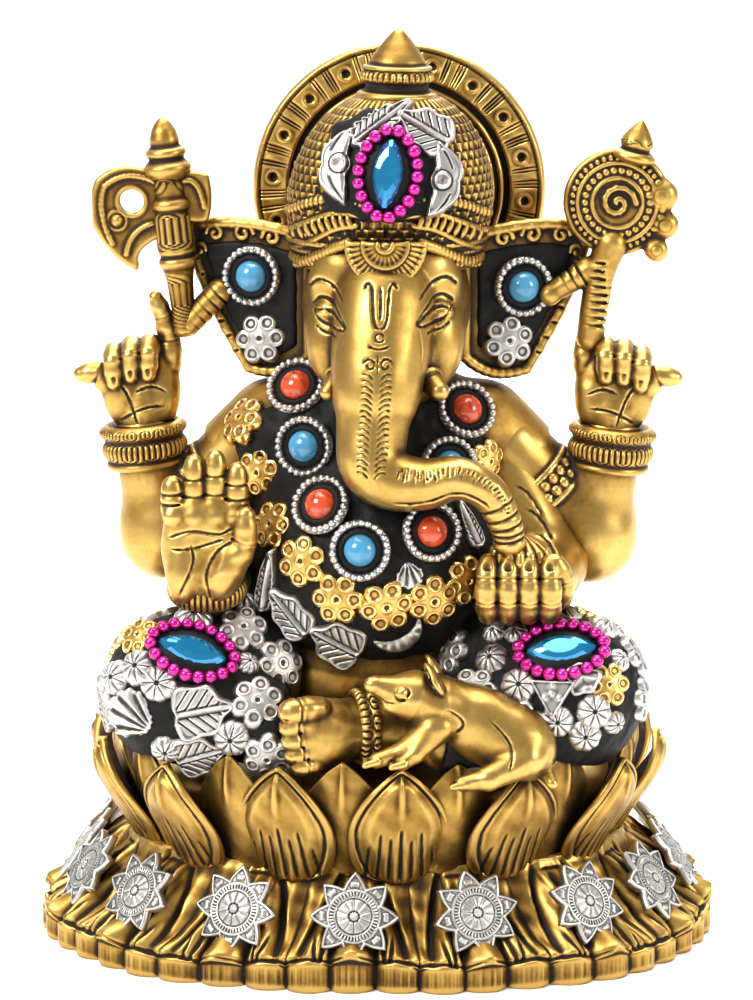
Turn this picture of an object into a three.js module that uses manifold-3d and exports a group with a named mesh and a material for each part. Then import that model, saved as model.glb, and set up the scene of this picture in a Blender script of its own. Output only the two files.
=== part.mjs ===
// A brass Ganesha idol, 200 mm tall, seated on a two-tier lotus and set with stones in black mastic.
// Millimetres, +Z up, the idol faces -Y and +X is its left-hand side.
// The origin is the middle of the base's underside.
import * as THREE from "three";
import { mergeVertices } from "three/addons/utils/BufferGeometryUtils.js";
import { ConvexGeometry } from "three/addons/geometries/ConvexGeometry.js";
import Module from "manifold-3d";

// ---- Driving dimensions ----
const gap = 0.3; // clearance between neighbouring pieces
const smoothing = 0.1; // facets flatter than this are merged
const crumb = 45; // cubic millimetres; a cut leaves nothing smaller beside a piece
const base = { halfWidth: 75.5, halfDepth: 54, petals: 14, skirtHeight: 23, rim: 5.5, wall: 5, crownWall: 5 };
const cup = { halfWidth: 55, height: 17, petalRise: 6.5, petalFlare: 5.5, petalThickness: 3.6, step: 4.5 };
const belly = { across: 27.5, deep: 25, tall: 27, above: 43, back: -2 };
const chest = { across: 33, deep: 16, tall: 17, above: 25, back: 5 }; // above the belly's centre
const leg = { hipRadius: 17, kneeRadius: 16, ankleRadius: 9, kneeOut: 42, kneeForward: 20, lift: 17 };
const head = { across: 18.5, deep: 17, tall: 21, above: 32, back: -2, aside: 2.2 }; // above the chest
const crown = { across: 23.5, deep: 21.5, tall: 34, brim: 3, back: 2 };
const finial = { neck: 8, cone: 6.4, neckTall: 6.5, coneTall: 8 };
const halo = { radius: 31.7, thickness: 3.6, rim: 7.7, ridge: 1.2, drop: 24.5, letIn: 1, aside: 2 };
const ear = { across: 29, tall: 33, thickness: 4, turn: 16, back: 3 };
const trunk = { root: 10, bend: 6.6, tip: 3.4, reach: 26 };
const rearArm = { shoulderRadius: 10, elbowRadius: 10, wristRadius: 7.2, elbowOut: 47, wristOut: 51.5, rise: 22 };
const frontArm = { radius: 8.5, handOut: 36, handForward: 23 };
const cuff = { thickness: 1.7, tall: 6 };
const palm = { across: 8.6, deep: 5, tall: 10.5, finger: 2.3, thumb: 2.8, indexRise: 31, thumbOut: 13.2 };
const blessing = { across: 9.3, deep: 5, tall: 12, reach: [17, 22, 23, 20] }; // raised hand, reach of each finger
const offering = { across: 10, deep: 7, tall: 8.5, finger: 2.4 };
const sweet = { across: 7, deep: 5.5, tall: 5 };
const axe = { tall: 47.4, grip: 2.6, collar: 5.2, bladeOut: 18, bladeBack: 9, bladeThickness: 3, lean: 0.1 };
const noose = { radius: 11, thickness: 5, stem: 27, tip: 8.4 };
const foot = { long: 11, radius: 6.6, toe: 3.2, anklet: 8, ankletTall: 4 };
const mastic = { thickness: 1.7 };
const stone = { radius: 3.8, dome: 3.2, floor: 0.7 };
const bezel = { radius: 6.5, sink: 0.9, rise: 1.1 }; // pressed so far into the mastic, standing so far above it
const crystal = { long: 6.6, wide: 3.4, thick: 2.4, beads: 3.2 };
const mouse = { body: 7.5, head: 5, nose: 2.3, paw: 2.3, ear: 1.6 };

// ---- Solids from three.js geometry ----
const wasm = await Module();
wasm.setup();

function solid(geometry) {
  const shape = geometry.clone();
  shape.deleteAttribute("normal");
  shape.deleteAttribute("uv");
  const merged = mergeVertices(shape, 1e-4);
  const mesh = new wasm.Mesh({
    numProp: 3,
    vertProperties: merged.attributes.position.array,
    triVerts: new Uint32Array(merged.index.array),
  });
  return new wasm.Manifold(mesh);
}

function geometryOf(shape) {
  const mesh = shape.getMesh();
  const points = new Float32Array(mesh.numVert * 3);
  for (let i = 0; i < mesh.numVert; i++) {
    points.set(mesh.vertProperties.subarray(i * mesh.numProp, i * mesh.numProp + 3), i * 3);
  }
  const indexed = new THREE.BufferGeometry();
  indexed.setAttribute("position", new THREE.BufferAttribute(points, 3));
  indexed.setIndex(new THREE.BufferAttribute(mesh.triVerts, 1));
  const flat = indexed.toNonIndexed();
  flat.computeVertexNormals();
  return flat;
}

const vec = (x, y, z) => new THREE.Vector3(x, y, z);
const rad = THREE.MathUtils.degToRad;
const join = (shapes) => shapes.reduce((whole, shape) => whole.add(shape));

// An upright ellipsoid, grown by g all round.
function ellipsoid(centre, radii, g = 0, segments = 20) {
  const sphere = new THREE.SphereGeometry(1, segments, Math.round(segments * 0.6));
  sphere.rotateX(Math.PI / 2);
  sphere.scale(radii.x + g, radii.y + g, radii.z + g);
  sphere.translate(centre.x, centre.y, centre.z);
  return solid(sphere);
}

function ballPoints(centre, radius, segments) {
  const ball = new THREE.SphereGeometry(radius, segments, segments / 2);
  ball.translate(centre.x, centre.y, centre.z);
  const at = ball.attributes.position;
  return Array.from({ length: at.count }, (_, i) => new THREE.Vector3().fromBufferAttribute(at, i));
}

// A chain of balls [x, y, z, radius], each joined to the next by their common hull.
function limb(balls, g = 0, segments = 10) {
  const sections = [];
  for (let i = 0; i + 1 < balls.length; i++) {
    const ends = [balls[i], balls[i + 1]];
    const points = ends.flatMap(([x, y, z, r]) => ballPoints(vec(x, y, z), r + g, segments));
    sections.push(solid(new ConvexGeometry(points)));
  }
  return join(sections);
}

// A turned piece about +Z. The profile is [radius, height] pairs that start and end on the axis.
function turned(profile, segments = 24) {
  const lathe = new THREE.LatheGeometry(profile.map(([r, z]) => new THREE.Vector2(r, z)), segments);
  lathe.rotateX(Math.PI / 2);
  return lathe;
}

function placed(geometry, position, rotation = [0, 0, 0]) {
  const matrix = new THREE.Matrix4().makeRotationFromEuler(new THREE.Euler(...rotation));
  matrix.setPosition(position);
  return solid(geometry.clone().applyMatrix4(matrix));
}

// A piece whose +Z axis is laid along the direction normal, with its +X axis as near to along as it can be.
function facing(geometry, position, normal, along = vec(1, 0, 0)) {
  const up = normal.clone().normalize();
  const side = new THREE.Vector3().crossVectors(up, along).normalize();
  const forward = new THREE.Vector3().crossVectors(side, up);
  const matrix = new THREE.Matrix4().makeBasis(forward, side, up).setPosition(position);
  return solid(geometry.clone().applyMatrix4(matrix));
}

function block(low, high) {
  const size = high.clone().sub(low);
  const box = new THREE.BoxGeometry(size.x, size.y, size.z);
  box.translate((low.x + high.x) / 2, (low.y + high.y) / 2, (low.z + high.z) / 2);
  return solid(box);
}

// ---- Materials ----
const metal = (color, roughness) => new THREE.MeshStandardMaterial({ color, roughness, metalness: 1 });
const materials = {
  brass: metal(0xb98a34, 0.38),
  gilt: metal(0xd9a23c, 0.3),
  silver: metal(0xd8d6cf, 0.3),
  mastic: new THREE.MeshStandardMaterial({ color: 0x232220, roughness: 0.7, metalness: 0 }),
  turquoise: new THREE.MeshStandardMaterial({ color: 0x4a98bd, roughness: 0.3, metalness: 0 }),
  coral: new THREE.MeshStandardMaterial({ color: 0xc8431f, roughness: 0.3, metalness: 0 }),
  crystal: new THREE.MeshStandardMaterial({ color: 0x0a86b8, roughness: 0.08, metalness: 0.4 }),
  pink: metal(0xd8309f, 0.3),
};

// ---- Levels and anchor points, worked out from the dimensions ----
const depthRatio = base.halfDepth / base.halfWidth;
const seat = base.skirtHeight + cup.height;
const bellyAt = vec(0, belly.back, seat + belly.above);
const chestAt = vec(0, chest.back, bellyAt.z + chest.above);
const headAt = vec(head.aside, head.back, chestAt.z + head.above);
const crownAt = vec(headAt.x, crown.back, headAt.z + head.tall * 0.5);
const crownTop = crownAt.z + crown.tall;
const haloBack = crown.back + crown.deep + halo.thickness / 2 - halo.letIn;
const haloAt = vec(headAt.x + halo.aside, haloBack, crownTop - halo.drop);
const elbowHeight = chestAt.z - rearArm.rise;
const bellyRadii = vec(belly.across, belly.deep, belly.tall);
const chestRadii = vec(chest.across, chest.deep, chest.tall);
const headRadii = vec(head.across, head.deep, head.tall);

// ---- Lotus base ----
// A turned shape in the base's own oval: radii are measured along X, and depth follows the base's ratio.
function oval(profile, segments = 28) {
  const shape = turned(profile, segments);
  shape.scale(1, depthRatio, 1);
  return solid(shape);
}

function ovalHull(points) {
  return solid(new ConvexGeometry(points.map(([r, angle, z]) => {
    return vec(r * Math.cos(angle), r * Math.sin(angle) * depthRatio, z);
  })));
}

// One tongue of the skirt: it slopes down to a round end on the rim.
function skirtTongue(angle, reach, width) {
  const half = width / 2 / base.halfWidth;
  const points = [];
  for (const z of [0, base.rim]) {
    points.push([reach, angle, z], [reach - 2.5, angle + half, z], [reach - 2.5, angle - half, z]);
    points.push([base.halfWidth * 0.8, angle + half, z], [base.halfWidth * 0.8, angle - half, z]);
  }
  const top = base.skirtHeight - 3;
  points.push([cup.halfWidth, angle, top]);
  points.push([cup.halfWidth, angle + half, top - 3], [cup.halfWidth, angle - half, top - 3]);
  return ovalHull(points);
}

function skirt() {
  const foot = base.halfWidth * 0.88;
  const body = oval([[0, 0], [foot, 0], [foot, base.rim * 0.6], [cup.halfWidth + 1, base.skirtHeight],
    [0, base.skirtHeight]]);
  const count = base.petals * 2;
  const pitch = (2 * Math.PI) / count;
  const width = pitch * base.halfWidth * 0.92;
  const tongues = Array.from({ length: count }, (_, i) => skirtTongue(i * pitch, base.halfWidth, width));
  const cavityTop = base.skirtHeight - base.crownWall;
  const cavity = oval([[0, -1], [foot - base.wall, -1], [foot - base.wall, base.rim * 0.6],
    [cup.halfWidth - base.wall, cavityTop], [0, cavityTop]], 28);
  return join([body, ...tongues]).subtract(cavity);
}

// One lotus petal: narrow at its foot, widest a third of the way up, with a pointed tip that leans out.
function lotusPetal(angle, foot, tipOut, low, high, width) {
  const half = width / 2 / foot;
  const waist = low + (high - low) * 0.35;
  const shoulder = low + (high - low) * 0.7;
  const points = [];
  for (const inner of [0, cup.petalThickness]) {
    points.push([foot - inner, angle + half * 0.7, low], [foot - inner, angle - half * 0.7, low]);
    const bulge = foot + tipOut * 0.5 - inner;
    const lean = foot + tipOut * 0.8 - inner;
    points.push([bulge, angle + half, waist], [bulge, angle - half, waist]);
    points.push([lean, angle + half * 0.82, shoulder], [lean, angle - half * 0.82, shoulder]);
    points.push([foot + tipOut - inner * 0.8, angle, high]);
  }
  points.push([foot + tipOut * 0.7 + 1.5, angle, waist]);
  return ovalHull(points);
}

function lotusCup() {
  const low = base.skirtHeight + gap;
  const foot = cup.halfWidth - 2;
  const core = oval([[0, low], [foot, low], [foot + 1, seat], [0, seat]]);
  const pitch = (2 * Math.PI) / base.petals;
  const width = pitch * cup.halfWidth * 0.94;
  const petals = [];
  for (let i = 0; i < base.petals; i++) {
    const tip = seat + cup.petalRise;
    petals.push(lotusPetal((i + 0.5) * pitch, foot + 2, cup.petalFlare, low, tip, width));
    petals.push(lotusPetal(i * pitch, foot + 2 - cup.step, cup.petalFlare, seat - 7, tip + 1, width));
  }
  return join([core, ...petals]);
}

// ---- Body ----
const torsoShape = (g) => join([
  ellipsoid(bellyAt, bellyRadii, g, 16),
  ellipsoid(chestAt, chestRadii, g, 16),
  limb([[headAt.x * 0.5, chest.back, chestAt.z + 6, 13], [headAt.x, head.back + 3, headAt.z - 10, 13]], g),
]);

const kneeHeight = seat + leg.lift;
const hip = (side) => [side * 15, 2, seat + leg.lift + 3, leg.hipRadius];
const knee = (side) => [side * leg.kneeOut, -leg.kneeForward, kneeHeight, leg.kneeRadius];
const ankle = (side) => [side * 16, -leg.kneeForward - 12, seat + leg.ankleRadius + 2, leg.ankleRadius];
const legShape = (side) => (g) => limb([hip(side), knee(side), ankle(side)], g, 10);

// A skin of mastic over a shape, kept inside the field, with flat pads where stones need them.
const skin = (shape, field, pads = []) => (g) => join([
  shape(mastic.thickness + g),
  ...pads.map((pad) => pad(g)),
]).subtract(shape(gap - g)).intersect(field(g));

const bellyField = (g) => block(
  vec(-chest.across + 2, -60, bellyAt.z - belly.tall * 0.75).subScalar(g),
  vec(chest.across * 0.72, chest.back - 3, chestAt.z + chest.tall * 0.55).addScalar(g),
);
const legField = (side) => (g) => {
  const inner = side * 15;
  const outer = side * (leg.kneeOut + 40);
  return block(
    vec(Math.min(inner, outer), -80, seat + 7).subScalar(g),
    vec(Math.max(inner, outer), 6, seat + 60).addScalar(g),
  );
};

// ---- Head ----
const headShape = (g) => join([
  ellipsoid(headAt, headRadii, g, 16),
  limb([[headAt.x, head.back - 7, headAt.z - 6, 12], [headAt.x, head.back - 7, headAt.z + 7, 13]], g, 10),
]);

const trunkPath = [
  [0.4, -14.5, 9, trunk.root * 0.9], [0, -19, -2, trunk.root], [-1.6, -22, -16, (trunk.root + trunk.bend) / 2],
  [-2.4, -24.5, -27, trunk.bend * 1.06], [-0.4, -26.5, -33.5, trunk.bend], [7.2, -28.5, -34.5, trunk.bend * 0.8],
  [16, -30, -32.8, trunk.bend * 0.64], [22.4, -30, -36, trunk.bend * 0.58], [trunk.reach, -29, -43, trunk.tip],
  [trunk.reach + 1.2, -28, -48, trunk.tip * 0.9],
].map(([x, y, z, r]) => [headAt.x + x, headAt.y + y + 2, headAt.z + z, r]);

const tusk = (side, length) => (g) => limb([
  [headAt.x + side * 9, -18, headAt.z - 14, 3],
  [headAt.x + side * (9 + length), -23, headAt.z - 16 - length * 0.3, 2.1],
], g, 6);

// An ear is a pointed leaf of plate, turned outwards. In its own frame +X runs outwards and +Y up.
function earOutline(side, share, g) {
  const x = (value) => side * (value * share * ear.across + g);
  const y = (value) => value * share * ear.tall + Math.sign(value) * g;
  const outline = new THREE.Shape();
  outline.moveTo(-side * g, y(0.42));
  outline.quadraticCurveTo(x(0.5), y(0.56), x(1), y(0.47));
  outline.quadraticCurveTo(x(0.92), y(0.05), x(0.5), y(-0.5));
  outline.quadraticCurveTo(x(0.2), y(-0.58), -side * g, y(-0.4));
  outline.closePath();
  return outline;
}

const earAt = (side) => vec(headAt.x + side * (head.across - 2), ear.back, headAt.z);
const earNormal = (side) => vec(side * Math.sin(rad(ear.turn)), -Math.cos(rad(ear.turn)), 0);
const earAcross = (side) => vec(side * Math.cos(rad(ear.turn)), Math.sin(rad(ear.turn)), 0);
// A point on the ear's front, so far out and up from the ear's root.
const onEar = (side, out, up) => earAt(side)
  .addScaledVector(earNormal(side), ear.thickness / 2)
  .addScaledVector(earAcross(side), out)
  .add(vec(0, 0, up));

function earPlate(side, share, thickness, centre, g) {
  const options = { depth: thickness + 2 * g, bevelEnabled: false, curveSegments: 6 };
  const plate = new THREE.ExtrudeGeometry(earOutline(side, share, g), options);
  plate.translate(0, 0, -thickness / 2 - g);
  const matrix = new THREE.Matrix4();
  matrix.makeBasis(vec(1, 0, 0), vec(0, 0, 1), vec(0, -1, 0));
  matrix.premultiply(new THREE.Matrix4().makeRotationZ(side * rad(ear.turn)));
  matrix.setPosition(centre);
  return solid(plate.applyMatrix4(matrix));
}

const earShape = (side) => (g) => earPlate(side, 1, ear.thickness, earAt(side), g);
const earMastic = (side) => (g) => {
  const centre = onEar(side, 1.5, -ear.tall * 0.08);
  centre.addScaledVector(earNormal(side), gap + mastic.thickness / 2);
  return earPlate(side, 0.74, mastic.thickness, centre, g);
};

// ---- Crown, finial and halo ----
function crownShape(g) {
  const steps = 8;
  const profile = [[0, -crown.brim - g], [crown.across + g, -crown.brim - g], [crown.across + g, 0]];
  for (let i = 1; i < steps; i++) {
    const angle = (i / steps) * Math.PI * 0.5;
    const radius = Math.max(crown.across * Math.cos(angle), finial.neck + 1.5);
    profile.push([radius + g, crown.tall * Math.sin(angle)]);
  }
  profile.push([finial.neck + 1.5 + g, crown.tall + g], [0, crown.tall + g]);
  const shape = turned(profile, 18);
  shape.scale(1, crown.deep / crown.across, 1);
  const pendant = turned([[0, -g], [7 + g, -g], [7 + g, 1.5 + g], [0, 2.6 + g]], 18);
  const front = vec(headAt.x, crown.back - crown.deep - 0.5, crownAt.z);
  return placed(shape, crownAt).add(facing(pendant, front.add(vec(0, 1, -crown.brim + 1)), vec(0, -1, 0)));
}

const crownField = (g) => block(
  vec(crownAt.x - 14, -60, crownAt.z + crown.tall * 0.28).subScalar(g),
  vec(crownAt.x + 14, crown.back - 6, crownAt.z + crown.tall * 0.95).addScalar(g),
);

function finialShape(g) {
  const profile = [
    [0, gap - g], [finial.neck + g, gap - g], [finial.neck + 0.6 + g, 2], [finial.neck - 1.6 + g, 3.4],
    [finial.neck + g, finial.neckTall - 1.4], [finial.cone + g, finial.neckTall],
    [finial.cone * 0.86 + g, finial.neckTall + finial.coneTall * 0.4],
    [1 + g, finial.neckTall + finial.coneTall], [0, finial.neckTall + finial.coneTall + g],
  ];
  return placed(turned(profile, 20), vec(crownAt.x, crownAt.y, crownTop));
}

function haloShape(g) {
  const half = halo.thickness / 2 + g;
  const outer = halo.radius + g;
  const profile = [[0, -half], [outer, -half], [outer, half], [halo.radius - halo.rim, half]];
  for (const inset of [halo.rim + 0.8, halo.rim + 3.2]) {
    const radius = halo.radius - inset;
    profile.push([radius, half + halo.ridge], [radius - 1, half + halo.ridge], [radius - 1.6, half]);
  }
  profile.push([0, half]);
  return facing(turned(profile, 28), haloAt, vec(0, -1, 0));
}

// ---- Rear arms and what they hold ----
const wristAt = (side) => vec(side * rearArm.wristOut, chest.back, elbowHeight + rearArm.rise);
const rearArmShape = (side) => (g) => limb([
  [side * (chest.across - 5), chest.back, chestAt.z - 1, rearArm.shoulderRadius - 1],
  [side * rearArm.elbowOut, chest.back + 2, elbowHeight, rearArm.elbowRadius],
  [wristAt(side).x, wristAt(side).y, wristAt(side).z + 1, rearArm.wristRadius],
], g, 8);

// A ring with a clearance bore, lying around a limb of the given radius.
function ring(position, axis, inner, thickness, tall, g) {
  const low = -tall / 2 - g;
  const high = tall / 2 + g;
  const bore = inner + gap - g;
  const profile = [[bore, low], [bore + thickness + g * 2, low], [bore + thickness + g * 2 + 0.6, 0],
    [bore + thickness + g * 2, high], [bore, high], [bore, low]];
  return facing(turned(profile, 16), position, axis);
}

const rearCuff = (side) => (g) => {
  const at = wristAt(side).add(vec(0, 0, -1));
  return ring(at, vec(side * 0.2, 0, 1), rearArm.wristRadius + 0.2, cuff.thickness, cuff.tall, g);
};

// The palm faces forwards, the index finger points up, the others fold over the palm.
const rearHand = (side) => (g) => {
  const { x, y, z } = wristAt(side);
  const at = (out, forward, up, radius) => [x + side * out, y - forward, z + up, radius];
  const inner = palm.across - palm.finger;
  const folded = [0, 3, 6].map((out) => limb([
    at(out, palm.deep - 1.5, palm.tall * 2 - 1, palm.finger),
    at(out, palm.deep + 0.6, palm.tall + 4, palm.finger),
  ], g, 6));
  return join([
    ellipsoid(vec(x, y, z + palm.tall + 1.5), vec(palm.across, palm.deep, palm.tall), g, 10),
    limb([
      at(-inner, 2, palm.tall, palm.thumb),
      at(-inner + 0.9, 2, palm.tall * 2, palm.finger),
      at(-inner + 3.3, 2, palm.indexRise, palm.finger - 0.3),
    ], g, 6),
    limb([at(palm.across - 1.6, 1, palm.tall + 4.5, palm.thumb), at(palm.thumbOut, 1, palm.tall + 2.5, 2)], g, 6),
    ...folded,
  ]);
};

// A turned staff with a broad curved blade outwards and a short one behind it.
const axeShape = (g) => {
  const side = -1;
  const foot = vec(side * (rearArm.wristOut - 9.5), chest.back - 1, wristAt(side).z + palm.indexRise - 7);
  const rise = (share) => axe.tall * share;
  const staff = turned([
    [0, -g], [axe.grip + g, -g], [axe.grip + 0.4 + g, rise(0.3)], [axe.collar - 0.8 + g, rise(0.46)],
    [axe.collar - 0.6 + g, rise(0.72)], [axe.collar + g, rise(0.76)], [axe.collar + g, rise(0.82)],
    [axe.collar - 1.6 + g, rise(0.87)], [axe.collar - 1.4 + g, rise(0.89)], [0.8, rise(0.99) + g],
    [0, axe.tall + g],
  ], 12);
  const blade = (spread, high, low) => {
    const outline = new THREE.Shape();
    outline.moveTo(0, high - 5 + g);
    outline.quadraticCurveTo(spread * 0.7, high + 3 + g, spread + Math.sign(spread) * g, high - 6);
    outline.quadraticCurveTo(spread, low + 6, 0, low - g);
    outline.closePath();
    const options = { depth: axe.bladeThickness + 2 * g, bevelEnabled: false, curveSegments: 7 };
    const plate = new THREE.ExtrudeGeometry(outline, options);
    plate.translate(0, 0, -axe.bladeThickness / 2 - g);
    return facing(plate, foot, vec(0, -1, 0), vec(1, 0, 0));
  };
  return join([
    facing(staff, foot, vec(side * axe.lean, 0, 1)),
    blade(-axe.bladeOut, rise(0.8), rise(0.21)),
    blade(axe.bladeBack, rise(0.76), rise(0.46)),
    limb([[foot.x, foot.y, foot.z + 1, axe.grip], [foot.x + 7, foot.y + 1, foot.z + 8, axe.grip + 0.4]], g, 6),
  ]);
};

// A disc of coiled rope with its loose end outwards, on a short bent stem.
const nooseShape = (g) => {
  const side = 1;
  const foot = vec(side * (rearArm.wristOut - 5), chest.back - 1, wristAt(side).z + palm.indexRise - 5);
  const loopAt = foot.clone().add(vec(noose.radius / 2, 0, noose.stem));
  const half = noose.thickness / 2 + g;
  const tip = turned([[0, -g], [4 + g, -g], [3.6 + g, 3], [0.6, noose.tip - 0.4 + g], [0, noose.tip + g]], 12);
  const disc = turned([
    [0, -half], [noose.radius + g, -half], [noose.radius + 0.8 + g, 0], [noose.radius - 2 + g, half], [0, half],
  ], 18);
  const stem = [
    [foot.x, foot.y, foot.z, 3],
    [foot.x + 2, foot.y, foot.z + noose.stem * 0.45, 3.4],
    [loopAt.x, loopAt.y, loopAt.z - 4, 5],
  ];
  const knot = [
    [loopAt.x + noose.radius - 3, loopAt.y, loopAt.z - 1, 3.4],
    [loopAt.x + noose.radius + 0.5, loopAt.y, loopAt.z - 7, 2.4],
  ];
  return join([
    facing(disc, loopAt, vec(0, -1, 0)),
    limb(stem, g, 6),
    limb([[foot.x - 8, foot.y + 1, foot.z + 8, 3], [foot.x, foot.y, foot.z + 3, 2.6]], g, 6),
    limb(knot, g, 6),
    facing(tip, loopAt.clone().add(vec(3.4, 0, noose.radius - 1.5)), vec(0.22, 0, 1)),
  ]);
};

// ---- Front arms ----
const frontWrist = (side) => vec(side * frontArm.handOut, -frontArm.handForward + 5, bellyAt.z - 3);
const rightForearm = (g) => limb([
  [-rearArm.elbowOut + 2, chest.back - 2, elbowHeight + 1, frontArm.radius],
  [frontWrist(-1).x, frontWrist(-1).y + 3, frontWrist(-1).z, frontArm.radius - 1.8],
], g, 8);
const rightCuff = (g) => {
  const at = frontWrist(-1);
  return ring(at, vec(0.1, -0.75, 0.35), frontArm.radius - 1.2, cuff.thickness, cuff.tall - 2, g);
};
// The raised hand of blessing, palm forwards, four fingers up and the thumb beside them.
const rightHand = (g) => {
  const centre = vec(frontWrist(-1).x, -frontArm.handForward, frontWrist(-1).z + blessing.tall - 3);
  const at = (across, forward, up, radius) => [centre.x + across, centre.y - forward, centre.z + up, radius];
  const spread = (blessing.across - palm.finger) * 2 / 3;
  const fingers = blessing.reach.map((reach, i) => limb([
    at((i - 1.5) * spread, 0, blessing.tall - 4, palm.finger),
    at((i - 1.5) * spread, 1, reach - palm.finger, palm.finger),
  ], g, 6));
  const thumb = [
    at(blessing.across - 3.3, 2, -3, palm.thumb),
    at(blessing.across - 1.9, 3.6, blessing.tall - 4, palm.finger),
  ];
  return join([
    ellipsoid(centre, vec(blessing.across, blessing.deep, blessing.tall), g, 12),
    limb(thumb, g, 6),
    ...fingers,
  ]);
};
const leftForearm = (g) => limb([
  [rearArm.elbowOut - 2, chest.back - 2, elbowHeight - 1, frontArm.radius],
  [frontWrist(1).x - 1, frontWrist(1).y + 2, frontWrist(1).z + 2, frontArm.radius - 1],
], g, 8);
// The left front hand, its fingers closed upwards over the sweet.
const offeringAt = vec(frontWrist(1).x - 4.5, -frontArm.handForward - 2.5, frontWrist(1).z + 2);
const leftHand = (g) => {
  const { x, y, z } = offeringAt;
  const spread = (offering.across - offering.finger + 0.4) / 2;
  const fingers = [-1.5, -0.5, 0.5, 1.5].map((place) => limb([
    [x + place * spread, y - offering.deep + 1.5, z - 3, offering.finger],
    [x + place * spread, y - offering.deep + 2, z + offering.tall - 2.5, offering.finger],
  ], g, 6));
  return join([ellipsoid(offeringAt, vec(offering.across, offering.deep, offering.tall), g, 12), ...fingers]);
};
const sweetShape = (g) => ellipsoid(
  offeringAt.clone().add(vec(0, 1.5, offering.tall - 1.5)),
  vec(sweet.across, sweet.deep, sweet.tall), g, 10,
);

// ---- Left foot with its anklet, across the front, and the mouse beside it ----
const footShape = (g) => {
  const [, y, z] = ankle(1);
  const toes = [6, 2.6, -0.6, -3.6, -6.4].map((up, i) => limb([
    [-foot.long + 1, y - 1, z + up, foot.toe - i * 0.3],
    [-foot.long - 1, y - 6, z + up, foot.toe - 0.6 - i * 0.25],
  ], g, 6));
  const half = foot.ankletTall / 2 + g;
  const anklet = turned([
    [0, -half], [foot.anklet + g, -half], [foot.anklet + 0.6 + g, 0], [foot.anklet + g, half], [0, half],
  ], 18);
  const sole = [
    [-3, y + 2, z + 1, foot.radius - 0.4],
    [-foot.long - 1, y, z + 1, foot.radius],
    [-foot.long - 3, y + 1, z - 2, foot.radius - 0.6],
  ];
  return join([
    limb(sole, g, 12),
    facing(anklet, vec(-2.5, y + 2, z + 1), vec(1, 0, 0), vec(0, 1, 0)),
    ...toes,
  ]);
};

const mouseShape = (g) => {
  const y = -leg.kneeForward - 19.5;
  const z = seat + 6;
  return join([
    limb([[32, y + 2, z, mouse.body], [24, y + 1, z + 5, mouse.body], [15, y, z + 11.5, mouse.head + 0.6],
      [9.5, y, z + 14.5, mouse.head], [2.5, y - 1, z + 17, mouse.nose]], g, 10),
    limb([
      [18, y - 3, z + 5, mouse.paw + 1],
      [8, y - 5, z + 3.5, mouse.paw],
      [0.5, y - 4.5, z + 3, mouse.paw],
    ], g, 6),
    limb([[14.5, y + 2.5, z + 17, mouse.ear + 0.6], [16.5, y + 3, z + 20, mouse.ear]], g, 6),
    limb([[29, y - 3.5, z + 3, 5], [23, y - 5, z - 1, 3.4]], g, 8),
  ]);
};

// ---- Stones ----
// The front of an ellipsoid at a place across and up from its centre: the point and the outward normal.
function frontOf(centre, radii, across, up) {
  const share = 1 - (across / radii.x) ** 2 - (up / radii.z) ** 2;
  const depth = radii.y * Math.sqrt(Math.max(share, 0.02));
  const normal = vec(across / radii.x ** 2, -depth / radii.y ** 2, up / radii.z ** 2).normalize();
  return { point: centre.clone().add(vec(across, -depth, up)), normal };
}
// A place on the mastic of a ball-shaped knee, so far round from straight ahead and so far above level.
function onKnee(side, round, above) {
  const [x, y, z, r] = knee(side);
  const normal = vec(Math.sin(rad(round)), -Math.cos(rad(round)), Math.tan(rad(above))).normalize();
  return { point: vec(x, y, z).addScaledVector(normal, r + mastic.thickness), normal };
}
const masticFace = ({ point, normal }) => {
  const lifted = point.clone().addScaledVector(normal, mastic.thickness);
  return { point: lifted, normal };
};
const onBelly = (across, up) => masticFace(frontOf(bellyAt, bellyRadii, across, up));
const onChest = (across, up) => masticFace(frontOf(chestAt, chestRadii, across, up));
const onEarMastic = (side, out, up) => ({
  point: onEar(side, out, up).addScaledVector(earNormal(side), gap + mastic.thickness),
  normal: earNormal(side),
});

const stones = [
  { name: "ear_right", colour: "turquoise", place: onEarMastic(-1, 12.6, 4.5) },
  { name: "ear_left", colour: "turquoise", place: onEarMastic(1, 12.6, 2.5) },
  { name: "shoulder_right", colour: "coral", place: onChest(-19.5, 9.8) },
  { name: "chest_right", colour: "turquoise", place: onChest(-16.4, -0.8) },
  { name: "belly_right", colour: "coral", place: onBelly(-11.6, 14) },
  { name: "belly_middle", colour: "turquoise", place: onBelly(-3.2, 5.2) },
  { name: "belly_left", colour: "coral", place: onBelly(11.6, 9.4) },
  { name: "chest_left", colour: "turquoise", place: onChest(14.8, -2) },
  { name: "shoulder_left", colour: "coral", place: onChest(18.6, 8.6) },
];

// The cabochon stands in a silver bezel, a beaded disc that is pressed into the mastic.
function cabochon({ place }) {
  return (g) => {
    const steps = 3;
    const foot = stone.floor - bezel.sink;
    const profile = [[0, foot - g], [stone.radius + g, foot - g]];
    for (let i = 0; i < steps; i++) {
      const angle = (i / steps) * Math.PI * 0.5;
      profile.push([(stone.radius + g) * Math.cos(angle), (stone.dome + g) * Math.sin(angle)]);
    }
    profile.push([0, stone.dome + g]);
    return facing(turned(profile, 10), place.point, place.normal);
  };
}
// The profile of a disc with a bead's round edge.
const discProfile = (radius, g) => [[0, -bezel.sink - g], [radius + g, -bezel.sink - g],
  [radius + g, bezel.rise * 0.4], [radius - 0.8 + g, bezel.rise + g], [0, bezel.rise + g]];
const stoneBezel = ({ place }) => (g) =>
  facing(turned(discProfile(bezel.radius, g), 10), place.point, place.normal);

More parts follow.
